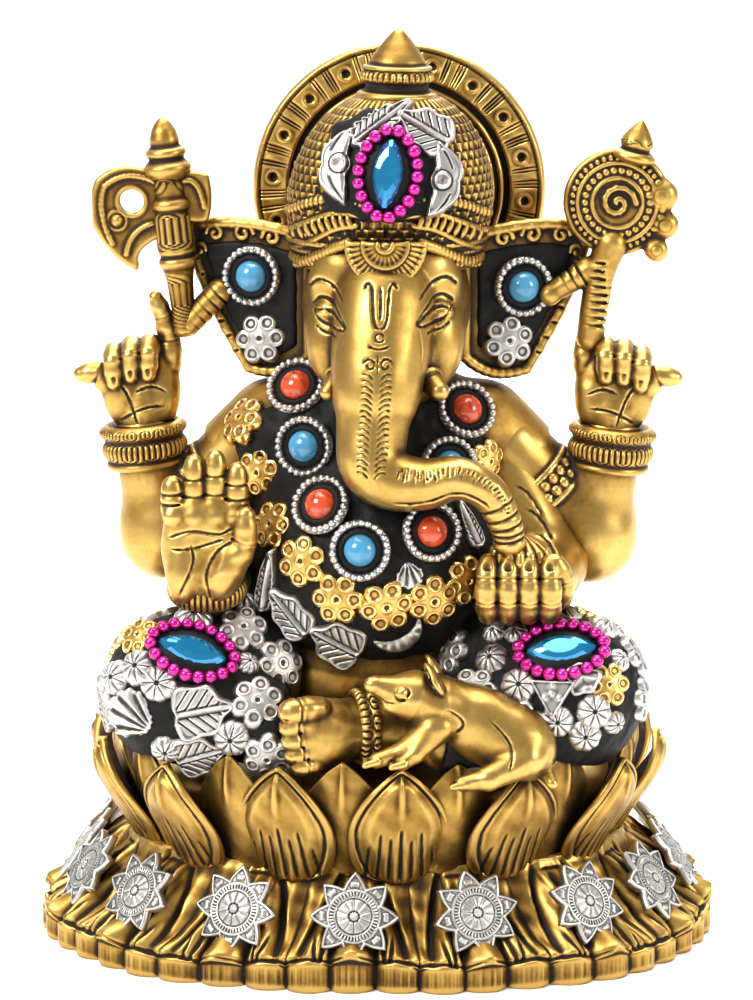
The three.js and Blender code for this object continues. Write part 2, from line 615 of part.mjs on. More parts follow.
const crystals = [
  {
    name: "crown",
    place: masticFace(frontOf(crownAt, vec(crown.across, crown.deep, crown.tall), 0.6, crown.tall * 0.66)),
    along: vec(0.08, 0, 1),
  },
  { name: "right_knee", place: onKnee(-1, 18, 44), along: vec(1, -0.1, -0.2) },
  { name: "left_knee", place: onKnee(1, -8, 48), along: vec(1, 0, 0) },
];
// A marquise crystal: two arcs that meet in points, with a flat table on top.
const crystalShape = ({ place, along }) => (g) => {
  const points = [];
  for (const [share, height] of [[0.9, stone.floor - bezel.sink - g], [1, 0.8], [0.5, crystal.thick + g]]) {
    for (let i = 0; i < 10; i++) {
      const angle = (i / 10) * 2 * Math.PI;
      const wide = crystal.wide * Math.sin(angle) * (0.55 + 0.45 * Math.abs(Math.sin(angle)));
      const x = crystal.long * Math.cos(angle) * share + Math.cos(angle) * g;
      points.push(vec(x, wide * share + Math.sin(angle) * g, height));
    }
  }
  return facing(new ConvexGeometry(points), place.point, place.normal, along);
};
// The oval of beads round a crystal.
const beadLong = crystal.long + crystal.beads;
const beadWide = crystal.wide + crystal.beads + 0.6;
const beadRing = ({ place, along }) => (g) => {
  const disc = turned(discProfile(beadLong, g), 12);
  disc.scale(1, (beadWide + g) / (beadLong + g), 1);
  return facing(disc, place.point, place.normal, along);
};
// The flat of mastic a crystal and its beads are pressed into.
const pad = ({ place, along }) => (g) => {
  const disc = turned([[0, -5 - g], [beadLong + 1 + g, -5 - g], [beadLong + 1 + g, g], [0, g]], 14);
  disc.scale(1, (beadWide + 1) / (beadLong + 1), 1);
  return facing(disc, place.point, place.normal, along);
};

// ---- Assembly ----
// Each piece is a function of how far it is grown all round. A piece keeps the gap to every piece
// named before it, so what is listed first lies in a pocket of what comes after.
const pieces = [];
const add = (name, material, shape) => pieces.push({ name, material, shape });

for (const item of stones) add("stone_" + item.name, item.colour, cabochon(item));
for (const item of crystals) add("crystal_" + item.name, "crystal", crystalShape(item));
for (const item of crystals) add("bead_ring_" + item.name, "pink", beadRing(item));
for (const item of stones) add("bezel_" + item.name, "silver", stoneBezel(item));
add("trunk", "brass", (g) => limb(trunkPath, g, 8));
add("right_tusk", "brass", tusk(-1, 2.5));
add("left_tusk", "brass", tusk(1, 5));
add("right_ear_mastic", "mastic", earMastic(-1));
add("left_ear_mastic", "mastic", earMastic(1));
add("crown_mastic", "mastic", skin(crownShape, crownField, [pad(crystals[0])]));
add("sweet", "brass", sweetShape);
add("left_front_hand", "brass", leftHand);
add("right_front_hand", "brass", rightHand);
add("right_front_cuff", "brass", rightCuff);
add("mouse", "brass", mouseShape);
add("left_foot", "brass", footShape);
add("belly_mastic", "mastic", skin(torsoShape, bellyField));
add("right_leg_mastic", "mastic", skin(legShape(-1), legField(-1), [pad(crystals[1])]));
add("left_leg_mastic", "mastic", skin(legShape(1), legField(1), [pad(crystals[2])]));
add("right_rear_hand", "brass", rearHand(-1));
add("left_rear_hand", "brass", rearHand(1));
add("axe", "brass", axeShape);
add("noose", "brass", nooseShape);
add("right_rear_bracelet", "brass", rearCuff(-1));
add("left_rear_bracelet", "brass", rearCuff(1));
add("right_ear", "brass", earShape(-1));
add("left_ear", "brass", earShape(1));
add("crown_finial", "brass", finialShape);
add("crown", "brass", crownShape);
add("head", "brass", headShape);
add("halo", "brass", haloShape);
add("torso", "brass", torsoShape);
add("right_front_forearm", "brass", rightForearm);
add("left_front_forearm", "brass", leftForearm);
add("right_rear_arm", "brass", rearArmShape(-1));
add("left_rear_arm", "brass", rearArmShape(1));
add("right_leg", "brass", legShape(-1));
add("left_leg", "brass", legShape(1));
add("lotus_cup", "brass", lotusCup);
add("lotus_skirt", "brass", skirt);

// A cut shape with its flat facets merged, without the crumbs a cut can leave beside it.
const cleaned = (shape) => join(shape.simplify(smoothing).decompose().filter((body) => body.volume() > crumb));

const groups = { lotus: new THREE.Group(), figure: new THREE.Group(), inlay: new THREE.Group() };
const inlaid = ["mastic", "silver", "pink", "crystal", "turquoise", "coral"];
const taken = []; // the grown shapes of the pieces made so far
for (const { name, material, shape } of pieces) {
  const made = cleaned(taken.reduce((left, other) => left.subtract(other), shape(0)));
  taken.push(shape(gap));
  const geometry = geometryOf(made);
  geometry.computeBoundingBox();
  const centre = geometry.boundingBox.getCenter(new THREE.Vector3());
  geometry.translate(-centre.x, -centre.y, -centre.z);
  const mesh = new THREE.Mesh(geometry, materials[material].clone());
  mesh.name = name;
  mesh.position.copy(centre);
  const home = name.startsWith("lotus") ? "lotus" : inlaid.includes(material) ? "inlay" : "figure";
  groups[home].add(mesh);
}
const group = new THREE.Group();
group.add(groups.lotus, groups.figure, groups.inlay);
export default group;
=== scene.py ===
from math import atan2, cos, pi, radians, sin, sqrt

import bpy
import numpy as np
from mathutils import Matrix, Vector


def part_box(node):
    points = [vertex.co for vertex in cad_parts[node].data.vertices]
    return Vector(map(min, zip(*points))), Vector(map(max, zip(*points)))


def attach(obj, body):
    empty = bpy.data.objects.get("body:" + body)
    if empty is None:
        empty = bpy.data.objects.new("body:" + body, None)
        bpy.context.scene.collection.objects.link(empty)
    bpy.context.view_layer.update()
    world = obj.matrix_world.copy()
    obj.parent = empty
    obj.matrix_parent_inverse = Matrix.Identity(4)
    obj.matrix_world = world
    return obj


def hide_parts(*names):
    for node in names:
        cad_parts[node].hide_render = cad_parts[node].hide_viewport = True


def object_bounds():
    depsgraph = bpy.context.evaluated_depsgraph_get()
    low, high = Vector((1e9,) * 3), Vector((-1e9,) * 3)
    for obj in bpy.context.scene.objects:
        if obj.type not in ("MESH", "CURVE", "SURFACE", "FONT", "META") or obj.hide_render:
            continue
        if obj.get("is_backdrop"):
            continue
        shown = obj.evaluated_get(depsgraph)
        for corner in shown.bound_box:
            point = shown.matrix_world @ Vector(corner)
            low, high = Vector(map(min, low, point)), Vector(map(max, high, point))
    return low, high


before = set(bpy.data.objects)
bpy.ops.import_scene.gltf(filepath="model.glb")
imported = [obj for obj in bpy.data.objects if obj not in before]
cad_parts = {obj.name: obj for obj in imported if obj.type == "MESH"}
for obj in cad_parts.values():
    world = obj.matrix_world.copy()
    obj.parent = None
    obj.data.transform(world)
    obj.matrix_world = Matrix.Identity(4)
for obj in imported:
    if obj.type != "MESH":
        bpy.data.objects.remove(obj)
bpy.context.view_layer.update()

import openvdb
from mathutils import Vector

MM = 0.001
TAU = 2 * pi
SIDES = ((-1, "right"), (1, "left"))    # the sign of x, and the idol's own side
CAMERA_TURN, CAMERA_RISE = radians(2.0), radians(12.0)
LOOK_AT, AWAY = np.array([0, 0, 95.4]), 764    # where the camera looks, and from how far
VIEW_MIDDLE = (-0.3, 93.3)    # the middle of the front view, across and up, in millimetres
rng = np.random.default_rng(11)


def box(node):
    lo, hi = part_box(node)
    return np.array(lo) / MM, np.array(hi) / MM


def middle_of(node):
    lo, hi = box(node)
    return lo + (hi - lo) * 0.5


def unit(v):
    v = np.array(v, float)
    return v / max(np.linalg.norm(v), 1e-9)


def ease(t):
    t = np.clip(t, 0, 1)
    return t * t * (3 - 2 * t)


def bump(t, width):
    return np.exp(-((t / width) ** 2))


# ---- Meshes ----
class Build:
    """Points and faces gathered from several shapes into one mesh."""

    def __init__(self):
        self.points, self.loops, self.sizes, self.count = [], [], [], 0

    def add(self, points, faces):
        faces = np.asarray(faces)
        self.points.append(np.asarray(points, float).reshape(-1, 3))
        self.loops.append((faces + self.count).ravel())
        self.sizes.append(np.full(len(faces), faces.shape[1]))
        self.count += len(self.points[-1])

    def cover(self, faces, first=0):
        """Lays triangles on points that are already in."""
        self.loops.append((faces + first).ravel())
        self.sizes.append(np.full(len(faces), 3))

    def arrays(self):
        return np.concatenate(self.points), np.concatenate(self.loops), np.concatenate(self.sizes)


def edges_of(loops, sizes):
    starts = np.concatenate([[0], np.cumsum(sizes)[:-1]])
    step = np.arange(len(loops)) + 1
    step[starts + sizes - 1] = starts
    a, b = loops, loops[step]
    return np.concatenate([a, b]), np.concatenate([b, a])


def pits(co, normals, a, b, scales):
    """How far each point lies below its surroundings, at each scale, as a share of that scale's depth."""
    n, result, p, done = len(co), [], co.copy(), 0
    degree = np.maximum(np.bincount(a, minlength=n), 1)[:, None]
    for rounds, depth in scales:
        for _ in range(rounds - done):
            mean = np.stack([np.bincount(a, p[b, k], n) for k in range(3)], 1) / degree
            p = 0.4 * p + 0.6 * mean
        done = rounds
        result.append(np.clip(((p - co) * normals).sum(1) / depth, -1.5, 1.5))
    return result


def publish(name, build, material, nodes=(), smooth=True, scales=((3, 0.05), (26, 0.45))):
    """Makes the object, gives it its pit attributes, and hangs it on the body."""
    points, loops, sizes = build.arrays() if isinstance(build, Build) else build
    mesh = bpy.data.meshes.new(name)
    mesh.vertices.add(len(points))
    mesh.vertices.foreach_set("co", (points * MM).astype(np.float32).ravel())
    mesh.loops.add(len(loops))
    mesh.loops.foreach_set("vertex_index", loops.astype(np.int32))
    mesh.polygons.add(len(sizes))
    mesh.polygons.foreach_set("loop_start", np.concatenate([[0], np.cumsum(sizes)[:-1]]).astype(np.int32))
    mesh.polygons.foreach_set("use_smooth", np.full(len(sizes), smooth))
    mesh.update(calc_edges=True)
    normals = np.zeros(len(points) * 3, np.float32)
    mesh.vertex_normals.foreach_get("vector", normals)
    a, b = edges_of(loops, sizes)
    for label, values in zip(("fine", "wide"), pits(points, normals.reshape(-1, 3), a, b, scales)):
        mesh.attributes.new(label, "FLOAT", "POINT").data.foreach_set("value", values.astype(np.float32))
    obj = bpy.data.objects.new(name + "_detail" if nodes else name, mesh)
    bpy.context.scene.collection.objects.link(obj)
    mesh.materials.append(material)
    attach(obj, "root")
    if nodes:
        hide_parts(*nodes)
    return obj


def stand_in(name, build, material):
    """Publishes a piece that replaces the node of its own name."""
    publish(name, build, material, [name])


def grid_faces(rows, cols, wrap=False):
    """Quads between rows of points. With wrap, the last column joins the first."""
    i, j = np.meshgrid(np.arange(rows - 1), np.arange(cols if wrap else cols - 1), indexing="ij")
    a, k = i * cols + j, (j + 1) % cols
    return np.stack([a, i * cols + k, (i + 1) * cols + k, (i + 1) * cols + j], -1).reshape(-1, 4)


def fan(centre, ring, flip=False):
    nxt = np.roll(ring, -1)
    tri = np.stack([np.full(len(ring), centre), ring, nxt], 1)
    return tri[:, ::-1] if flip else tri


def shell(front, back):
    """A closed sheet between two grids of points, (rows, cols, 3) each."""
    rows, cols = front.shape[:2]
    f, m = grid_faces(rows, cols), rows * cols
    edge = np.concatenate([np.arange(cols), np.arange(1, rows) * cols + cols - 1, m - 2 - np.arange(cols - 1),
        (rows - 2 - np.arange(rows - 2)) * cols])
    nxt = np.roll(edge, -1)
    side = np.stack([edge, edge + m, nxt + m, nxt], 1)
    return np.concatenate([front.reshape(-1, 3), back.reshape(-1, 3)]), np.concatenate([f, f[:, ::-1] + m,
        side])


def frame_at(point, normal, up=(0, 0, 1)):
    """Columns: across, along, out of the surface, and the point."""
    z = unit(normal)
    x = np.cross(np.array(up, float), z)
    x = unit(x if np.linalg.norm(x) > 1e-3 else np.array([1.0, 0, 0]))
    return np.array([x, np.cross(z, x), z]), np.array(point, float)


def laid(points, place):
    axes, origin = place
    return np.asarray(points, float) @ axes + origin


# ---- Clay: a solid kept as distances on a grid, so shapes melt into each other ----
class Clay:
    def __init__(self, lo, hi, step):
        self.step, self.lo = step, np.array(lo, float)
        self.n = np.ceil((np.array(hi, float) - self.lo) / step).astype(int) + 1
        self.f = np.full(self.n, 4.0, np.float32)

    def window(self, lo, hi):
        a = np.clip(np.floor((np.array(lo) - self.lo) / self.step).astype(int), 0, self.n)
        b = np.clip(np.ceil((np.array(hi) - self.lo) / self.step).astype(int) + 1, 0, self.n)
        if (b <= a).any():
            return None
        axes = [(self.lo[k] + self.step * np.arange(a[k], b[k])).astype(np.float32) for k in range(3)]
        grids = (axes[0][:, None, None], axes[1][None, :, None], axes[2][None, None, :])
        return tuple(slice(p, q) for p, q in zip(a, b)), grids

    def put(self, shape, blend=0.0):
        """Adds a shape, melting it in over the blend distance."""
        fn, lo, hi = shape
        room = blend + 4 * self.step
        found = self.window(lo - room, hi + room)
        if found:
            where, xyz = found
            self.f[where] = smin(self.f[where], fn(*xyz), blend)
        return self

    def cut(self, shape, blend=0.0):
        fn, lo, hi = shape
        room = blend + 2 * self.step
        found = self.window(lo - room, hi + room)
        if found:
            where, xyz = found
            self.f[where] = -smin(-self.f[where], fn(*xyz), blend)
        return self

    def keep(self, shape, blend=0.0):
        where, xyz = self.window(self.lo - 1, self.lo + self.step * self.n)
        self.f[where] = -smin(-self.f[where], -shape[0](*xyz), blend)
        return self

    def swell(self, fn):
        """Moves the surface outwards by fn(x, y, z)."""
        where, xyz = self.window(self.lo, self.lo + self.step * self.n)
        self.f[where] -= fn(*xyz)
        return self

    def uneven(self, amount, scale, seed=0.0):
        """Gives the surface the gentle unevenness of a hand-finished casting."""
        return self.swell(lambda x, y, z: amount * waves(x, y, z, scale, seed))

    def hit(self, origin, way, reach=90.0):
        """Where a ray from outside first meets the surface."""
        origin, way = np.array(origin, float), unit(way)
        t = np.arange(0, reach, self.step * 0.5)
        p = (origin + t[:, None] * way - self.lo) / self.step
        ok = ((p >= 0) & (p < self.n - 1)).all(1)
        q = np.clip(np.round(p).astype(int), 0, self.n - 1)
        d = np.where(ok, self.f[q[:, 0], q[:, 1], q[:, 2]], 4.0)
        inside = np.nonzero(d < 0)[0]
        if not len(inside):
            return None
        i = inside[0]
        before = d[i - 1] if i else d[i]
        share = before / (before - d[i]) if before > d[i] and before < 3 else 1.0
        return origin + way * (t[max(i - 1, 0)] + share * self.step * 0.5)

    def engrave(self, line, radius, back, depth):
        """Cuts a stroke along points that are dropped onto the surface from the front."""
        way = np.array([0.0, 1.0, 0.0])
        hits = [self.hit(np.array(p, float) - way * back, way, back + 60) for p in line]
        hits = [h for h in hits if h is not None]
        tips = np.ones(len(hits))
        if len(hits) > 2:
            tips[0] = tips[-1] = 0.45
        for (p, q), (s, t) in zip(zip(hits, hits[1:]), zip(tips, tips[1:])):
            shift = -way * (radius - depth)
            self.cut(cone(p + shift, q + shift, radius * s, radius * t), radius * 0.25)
        return self

    def mesh(self):
        grid = openvdb.FloatGrid(4.0)
        grid.copyFromArray(np.ascontiguousarray(self.f))
        points, tris, quads = grid.convertToPolygons(isovalue=0.0, adaptivity=0.0)
        build = Build()
        build.add(points * self.step + self.lo, quads)
        if len(tris):
            build.cover(tris)
        return build


def smin(a, b, k):
    if k <= 0:
        return np.minimum(a, b)
    h = np.clip(0.5 + 0.5 * (b - a) / k, 0, 1)
    return b + (a - b) * h - k * h * (1 - h)


def ball(c, r):
    """An upright ellipsoid, or a sphere."""
    c, r = np.array(c, float), np.ones(3) * r

    def fn(x, y, z):
        px, py, pz = (x - c[0]) / r[0], (y - c[1]) / r[1], (z - c[2]) / r[2]
        k = np.sqrt(px * px + py * py + pz * pz)
        g = np.sqrt((px / r[0]) ** 2 + (py / r[1]) ** 2 + (pz / r[2]) ** 2)
        return k * (k - 1) / np.maximum(g, 1e-4)
    return fn, c - r, c + r


def egg(c, axes, r):
    """An ellipsoid turned to lie along these axes."""
    c, axes, r = np.array(c, float), np.array([unit(a) for a in axes]), np.array(r, float)

    def fn(x, y, z):
        q = [((x - c[0]) * a[0] + (y - c[1]) * a[1] + (z - c[2]) * a[2]) / s for a, s in zip(axes, r)]
        k = np.sqrt(q[0] ** 2 + q[1] ** 2 + q[2] ** 2)
        g = np.sqrt((q[0] / r[0]) ** 2 + (q[1] / r[1]) ** 2 + (q[2] / r[2]) ** 2)
        return k * (k - 1) / np.maximum(g, 1e-4)
    m = r.max()
    return fn, c - m, c + m


def cone(a, b, ra, rb):
    """A round-ended stroke from a to b."""
    a, b = np.array(a, float), np.array(b, float)
    ab = b - a
    square = max(float(ab @ ab), 1e-6)

    def fn(x, y, z):
        h = np.clip(((x - a[0]) * ab[0] + (y - a[1]) * ab[1] + (z - a[2]) * ab[2]) / square, 0, 1)
        dx, dy, dz = x - a[0] - ab[0] * h, y - a[1] - ab[1] * h, z - a[2] - ab[2] * h
        return np.sqrt(dx * dx + dy * dy + dz * dz) - (ra + (rb - ra) * h)
    m = max(ra, rb)
    return fn, np.minimum(a, b) - m, np.maximum(a, b) + m


def slab(c, axes, half, rounding=0.5):
    """A box turned to these axes, with rounded edges."""
    c, axes, half = np.array(c, float), np.array([unit(a) for a in axes]), np.array(half, float) - rounding

    def fn(x, y, z):
        q = [np.abs((x - c[0]) * a[0] + (y - c[1]) * a[1] + (z - c[2]) * a[2]) - s
            for a, s in zip(axes, half)]
        out = sum(np.maximum(v, 0) ** 2 for v in q)
        return np.sqrt(out) + np.minimum(np.maximum(np.maximum(q[0], q[1]), q[2]), 0) - rounding
    m = np.linalg.norm(half) + rounding
    return fn, c - m, c + m


def hoop(c, axis, radius, tube):
    """A ring round an axis."""
    c, n = np.array(c, float), unit(axis)

    def fn(x, y, z):
        h = (x - c[0]) * n[0] + (y - c[1]) * n[1] + (z - c[2]) * n[2]
        square = (x - c[0]) ** 2 + (y - c[1]) ** 2 + (z - c[2]) ** 2
        return np.sqrt((np.sqrt(np.maximum(square - h * h, 0)) - radius) ** 2 + h * h) - tube
    m = radius + tube
    return fn, c - m, c + m


def spline(points, count):
    """A smooth line through points; each row may carry a radius as well."""
    p = np.array(points, float)
    p = np.concatenate([[2 * p[0] - p[1]], p, [2 * p[-1] - p[-2]]])
    t = np.linspace(0, len(p) - 3 - 1e-6, count)
    i, f = t.astype(int), (t % 1)[:, None]
    a, b, c, d = p[i], p[i + 1], p[i + 2], p[i + 3]
    return 0.5 * (2 * b + (c - a) * f + (2 * a - 5 * b + 4 * c - d) * f ** 2
        + (3 * b - a - 3 * c + d) * f ** 3)


def chain(clay, line, ra, rb, blend):
    """Lays a stroke between every two neighbouring points of a line."""
    for p, q in zip(line, line[1:]):
        clay.put(cone(p, q, ra, rb), blend)


# ---- Small solids as meshes ----
def bead(place, r, flat=0.85, rows=9, cols=12):
    """A bead, a little flattened."""
    v = np.linspace(-0.5, 0.5, rows)[:, None] * pi
    h = np.arange(cols)[None, :] / cols * TAU
    r = np.ones(3) * r
    pts = np.stack([r[0] * np.cos(v) * np.cos(h), r[1] * np.cos(v) * np.sin(h), r[2] * flat * np.sin(v)
        + 0 * h], -1)
    return laid(pts.reshape(-1, 3), place), grid_faces(rows, cols, True)


def stamp(outline, relief, rings=16, spokes=96, skirt=1.2):
    """A stamped ornament: outline(angle) is its edge, relief(x, y, share, angle) its height."""
    h = np.arange(spokes) / spokes * TAU
    share = np.linspace(0, 1, rings + 1)[1:] ** 0.9
    edge = outline(h)
    r = share[:, None] * edge[None, :]
    x, y = r * np.cos(h), r * np.sin(h)
    z = relief(x, y, share[:, None] + 0 * x, h[None, :] + 0 * x)
    top = np.stack([x, y, z], -1)
    wall = np.stack([x[-1] * 1.02, y[-1] * 1.02, np.full(spokes, -skirt)], -1)[None]
    middle = np.array([[0, 0, float(relief(np.zeros(1), np.zeros(1), np.zeros(1), np.zeros(1))[0])],
        [0, 0, -skirt]])
    pts = np.concatenate([np.concatenate([top, wall]).reshape(-1, 3), middle])
    last = (rings + 1) * spokes
    quads = grid_faces(rings + 1, spokes, True)[:, ::-1]
    tris = np.concatenate([fan(last, np.arange(spokes)), fan(last + 1, rings * spokes + np.arange(spokes),
        True)])
    return pts, quads, tris


def press(build, ornament, place, size=1.0, turn=0.0):
    """Adds a stamped ornament to a build, turned in its own plane, at a place on a surface."""
    pts, quads, tris = ornament
    c, s = cos(turn), sin(turn)
    spun = pts * size @ np.array([[c, s, 0], [-s, c, 0], [0, 0, 1]])
    first = build.count
    build.add(laid(spun, place), quads)
    build.cover(tris, first)


# ---- Materials ----
def graph(name):
    m = bpy.data.materials.new(name)
    m.use_nodes = True
    t = m.node_tree
    return m, t, t.nodes["Principled BSDF"]


def node(t, kind, links=(), **settings):
    n = t.nodes.new(kind)
    for key, value in settings.items():
        if key.startswith("_"):
            n.inputs[int(key[1:])].default_value = value
        else:
            setattr(n, key, value)
    for socket, source in dict(links).items():
        t.links.new(source, n.inputs[socket])
    return n


def maths(t, op, a, b=0.0, clamp=False):
    n = node(t, "ShaderNodeMath", operation=op, use_clamp=clamp)
    for i, v in enumerate((a, b)):
        if isinstance(v, (int, float)):
            n.inputs[i].default_value = v
        else:
            t.links.new(v, n.inputs[i])
    return n.outputs[0]


def ramp(t, source, stops):
    r = node(t, "ShaderNodeValToRGB", {0: source})
    r.color_ramp.elements[0].position, r.color_ramp.elements[0].color = stops[0][0], (*stops[0][1], 1)
    r.color_ramp.elements[1].position, r.color_ramp.elements[1].color = stops[-1][0], (*stops[-1][1], 1)
    for where, colour in stops[1:-1]:
        r.color_ramp.elements.new(where).color = (*colour, 1)
    return r.outputs[0]


def noise(t, scale, detail=3.0, stretch=(1, 1, 1)):
    where = node(t, "ShaderNodeTexCoord").outputs["Object"]
    turned = node(t, "ShaderNodeMapping", {0: where}, vector_type="POINT")
    turned.inputs["Scale"].default_value = stretch
    return node(t, "ShaderNodeTexNoise", {0: turned.outputs[0]}, _2=scale, _3=detail).outputs[0]


def metal_with_wear_and_painted_shade(name, stops, rough, grime, wide=0.40, painted_shade=0.9, grain=0.02, brushed=0.0, reach=5.0, dull=0.30):
    """Metal with bright worn ridges, patina in its pits and painted shade from an occlusion term in creases
    and between parts: stops run from ridge to pit.
    """
    m, t, p = graph(name)
    pit = maths(t, "MULTIPLY", node(t, "ShaderNodeAttribute", attribute_name="fine").outputs["Fac"], 0.5)
    broad = maths(t, "MULTIPLY", node(t, "ShaderNodeAttribute", attribute_name="wide").outputs["Fac"], wide)
    # Painted shade: ambient occlusion within reach scales the colour towards the pit end in creases and where
    # parts meet, as shade would.
    near = node(t, "ShaderNodeAmbientOcclusion", samples=6)
    near.inputs["Distance"].default_value = reach * MM
    closed = maths(t, "MULTIPLY", maths(t, "SUBTRACT", 1.0, near.outputs["AO"]), painted_shade)
    patchy = maths(t, "MULTIPLY", maths(t, "SUBTRACT", noise(t, 70), 0.5), 0.55)
    speck = maths(t, "MULTIPLY", maths(t, "SUBTRACT", noise(t, 900, 4), 0.5), 0.22)
    # The colour mixes patina in the pits with the painted shade of the occlusion term, plus random mottling.
    patina_and_painted_shade = maths(t, "ADD", maths(t, "ADD", pit, broad), maths(t, "ADD", closed, patchy))
    patina_and_painted_shade = maths(t, "ADD", maths(t, "ADD", patina_and_painted_shade, speck), dull, clamp=True)
    t.links.new(ramp(t, patina_and_painted_shade, stops), p.inputs["Base Color"])
    r = ramp(t, patina_and_painted_shade, [(0.1, (rough,) * 3), (0.95, (grime,) * 3)])
    t.links.new(r, p.inputs["Roughness"])
    metal = ramp(t, patina_and_painted_shade, [(0.55, (1, 1, 1)), (0.95, (0.55,) * 3)])
    t.links.new(metal, p.inputs["Metallic"])
    height = maths(t, "ADD", maths(t, "MULTIPLY", noise(t, 1500, 4), 0.6),
        maths(t, "MULTIPLY", noise(t, 320, 3), 1.1))
    if brushed:
        height = maths(t, "ADD", height, maths(t, "MULTIPLY", noise(t, 900, 3, (1, 1, 0.06)), brushed))
    b = node(t, "ShaderNodeBump", {"Height": height})
    b.inputs["Strength"].default_value = 1.0
    b.inputs["Distance"].default_value = grain * MM
    t.links.new(b.outputs[0], p.inputs["Normal"])
    return m


def plain(name, colour, rough, metallic=0.0, coat=0.0, flecks=None, painted_shade=0.0, grain=0.0, sheen=None,
        gloss=0.5):
    """A gem, paint or mastic: one colour, with optional flecks, painted shade in crevices and grain."""
    m, t, p = graph(name)
    p.inputs["Roughness"].default_value = rough
    p.inputs["Metallic"].default_value = metallic
    p.inputs["Coat Weight"].default_value = coat
    p.inputs["Coat Roughness"].default_value = 0.08
    p.inputs["Specular IOR Level"].default_value = gloss
    speckle = noise(t, 620, 5)
    colours = [(0.0, flecks or colour), (0.36, flecks or colour), (0.46, colour), (1.0, sheen or colour)]
    base = ramp(t, speckle, colours)
    if painted_shade:
        # Painted shade: ambient occlusion scales the colour down in crevices and where stones and beads meet
        # their settings.
        near = node(t, "ShaderNodeAmbientOcclusion", samples=6)
        near.inputs["Distance"].default_value = 0.002
        painted_shade_factor = maths(t, "ADD", maths(t, "MULTIPLY", near.outputs["AO"], painted_shade), 1 - painted_shade, clamp=True)
        base = node(t, "ShaderNodeVectorMath", {0: base}, operation="SCALE")
        t.links.new(painted_shade_factor, base.inputs["Scale"])
        base = base.outputs[0]
    t.links.new(base, p.inputs["Base Color"])
    if grain:
        b = node(t, "ShaderNodeBump", {"Height": noise(t, 420, 4)})
        b.inputs["Strength"].default_value = 1.0
        b.inputs["Distance"].default_value = grain * MM
        t.links.new(b.outputs[0], p.inputs["Normal"])
    return m


# Each list runs from worn ridge to patina; its near-black end is reached where patina and the painted shade
# of the occlusion term add up.
BRASS = metal_with_wear_and_painted_shade("antique_brass", [(0.0, (0.62, 0.405, 0.120)), (0.30, (0.43, 0.258, 0.062)),
    (0.52, (0.17, 0.092, 0.022)), (0.74, (0.050, 0.027, 0.010)), (1.0, (0.014, 0.009, 0.006))], 0.32, 0.62,
    reach=8.0)
CAST = metal_with_wear_and_painted_shade("cast_brass", [(0.0, (0.52, 0.328, 0.088)), (0.28, (0.33, 0.187, 0.040)),
    (0.50, (0.135, 0.070, 0.017)), (0.72, (0.048, 0.026, 0.010)), (1.0, (0.014, 0.009, 0.006))], 0.38, 0.66,
    dull=0.36, wide=0.45, grain=0.045, brushed=0.5)
GILT = metal_with_wear_and_painted_shade("gilt", [(0.0, (0.95, 0.66, 0.24)), (0.3, (0.72, 0.43, 0.11)), (0.6, (0.24, 0.12, 0.03)),
    (1.0, (0.030, 0.016, 0.007))], 0.26, 0.6, wide=0.30, painted_shade=0.65, reach=1.8)
SILVER = metal_with_wear_and_painted_shade("silver_trim", [(0.0, (0.58, 0.56, 0.53)), (0.40, (0.43, 0.415, 0.385)),
    (0.64, (0.16, 0.15, 0.135)), (1.0, (0.030, 0.028, 0.026))], 0.37, 0.6, wide=0.38, painted_shade=0.75, reach=2.2,
    dull=0.34)
MASTIC = plain("black_mastic", (0.006, 0.0056, 0.0052), 0.52, grain=0.25, sheen=(0.012, 0.011, 0.010),
    gloss=0.14)
TURQUOISE = plain("turquoise", (0.050, 0.235, 0.400), 0.16, coat=0.4, sheen=(0.070, 0.290, 0.460), painted_shade=0.5)
CORAL = plain("coral", (0.560, 0.060, 0.012), 0.16, coat=0.5, flecks=(0.300, 0.026, 0.008), painted_shade=0.5)
PINK = plain("pink_bead", (0.62, 0.018, 0.27), 0.20, metallic=0.75, coat=0.3, painted_shade=0.6)
CRYSTAL = plain("blue_crystal", (0.000, 0.210, 0.440), 0.04, metallic=0.65, coat=1.0, sheen=(0.0, 0.30, 0.52))


# ---- Studio ----
def towards_camera():
    return np.array([sin(CAMERA_TURN) * cos(CAMERA_RISE), -cos(CAMERA_TURN) * cos(CAMERA_RISE),
        sin(CAMERA_RISE)])


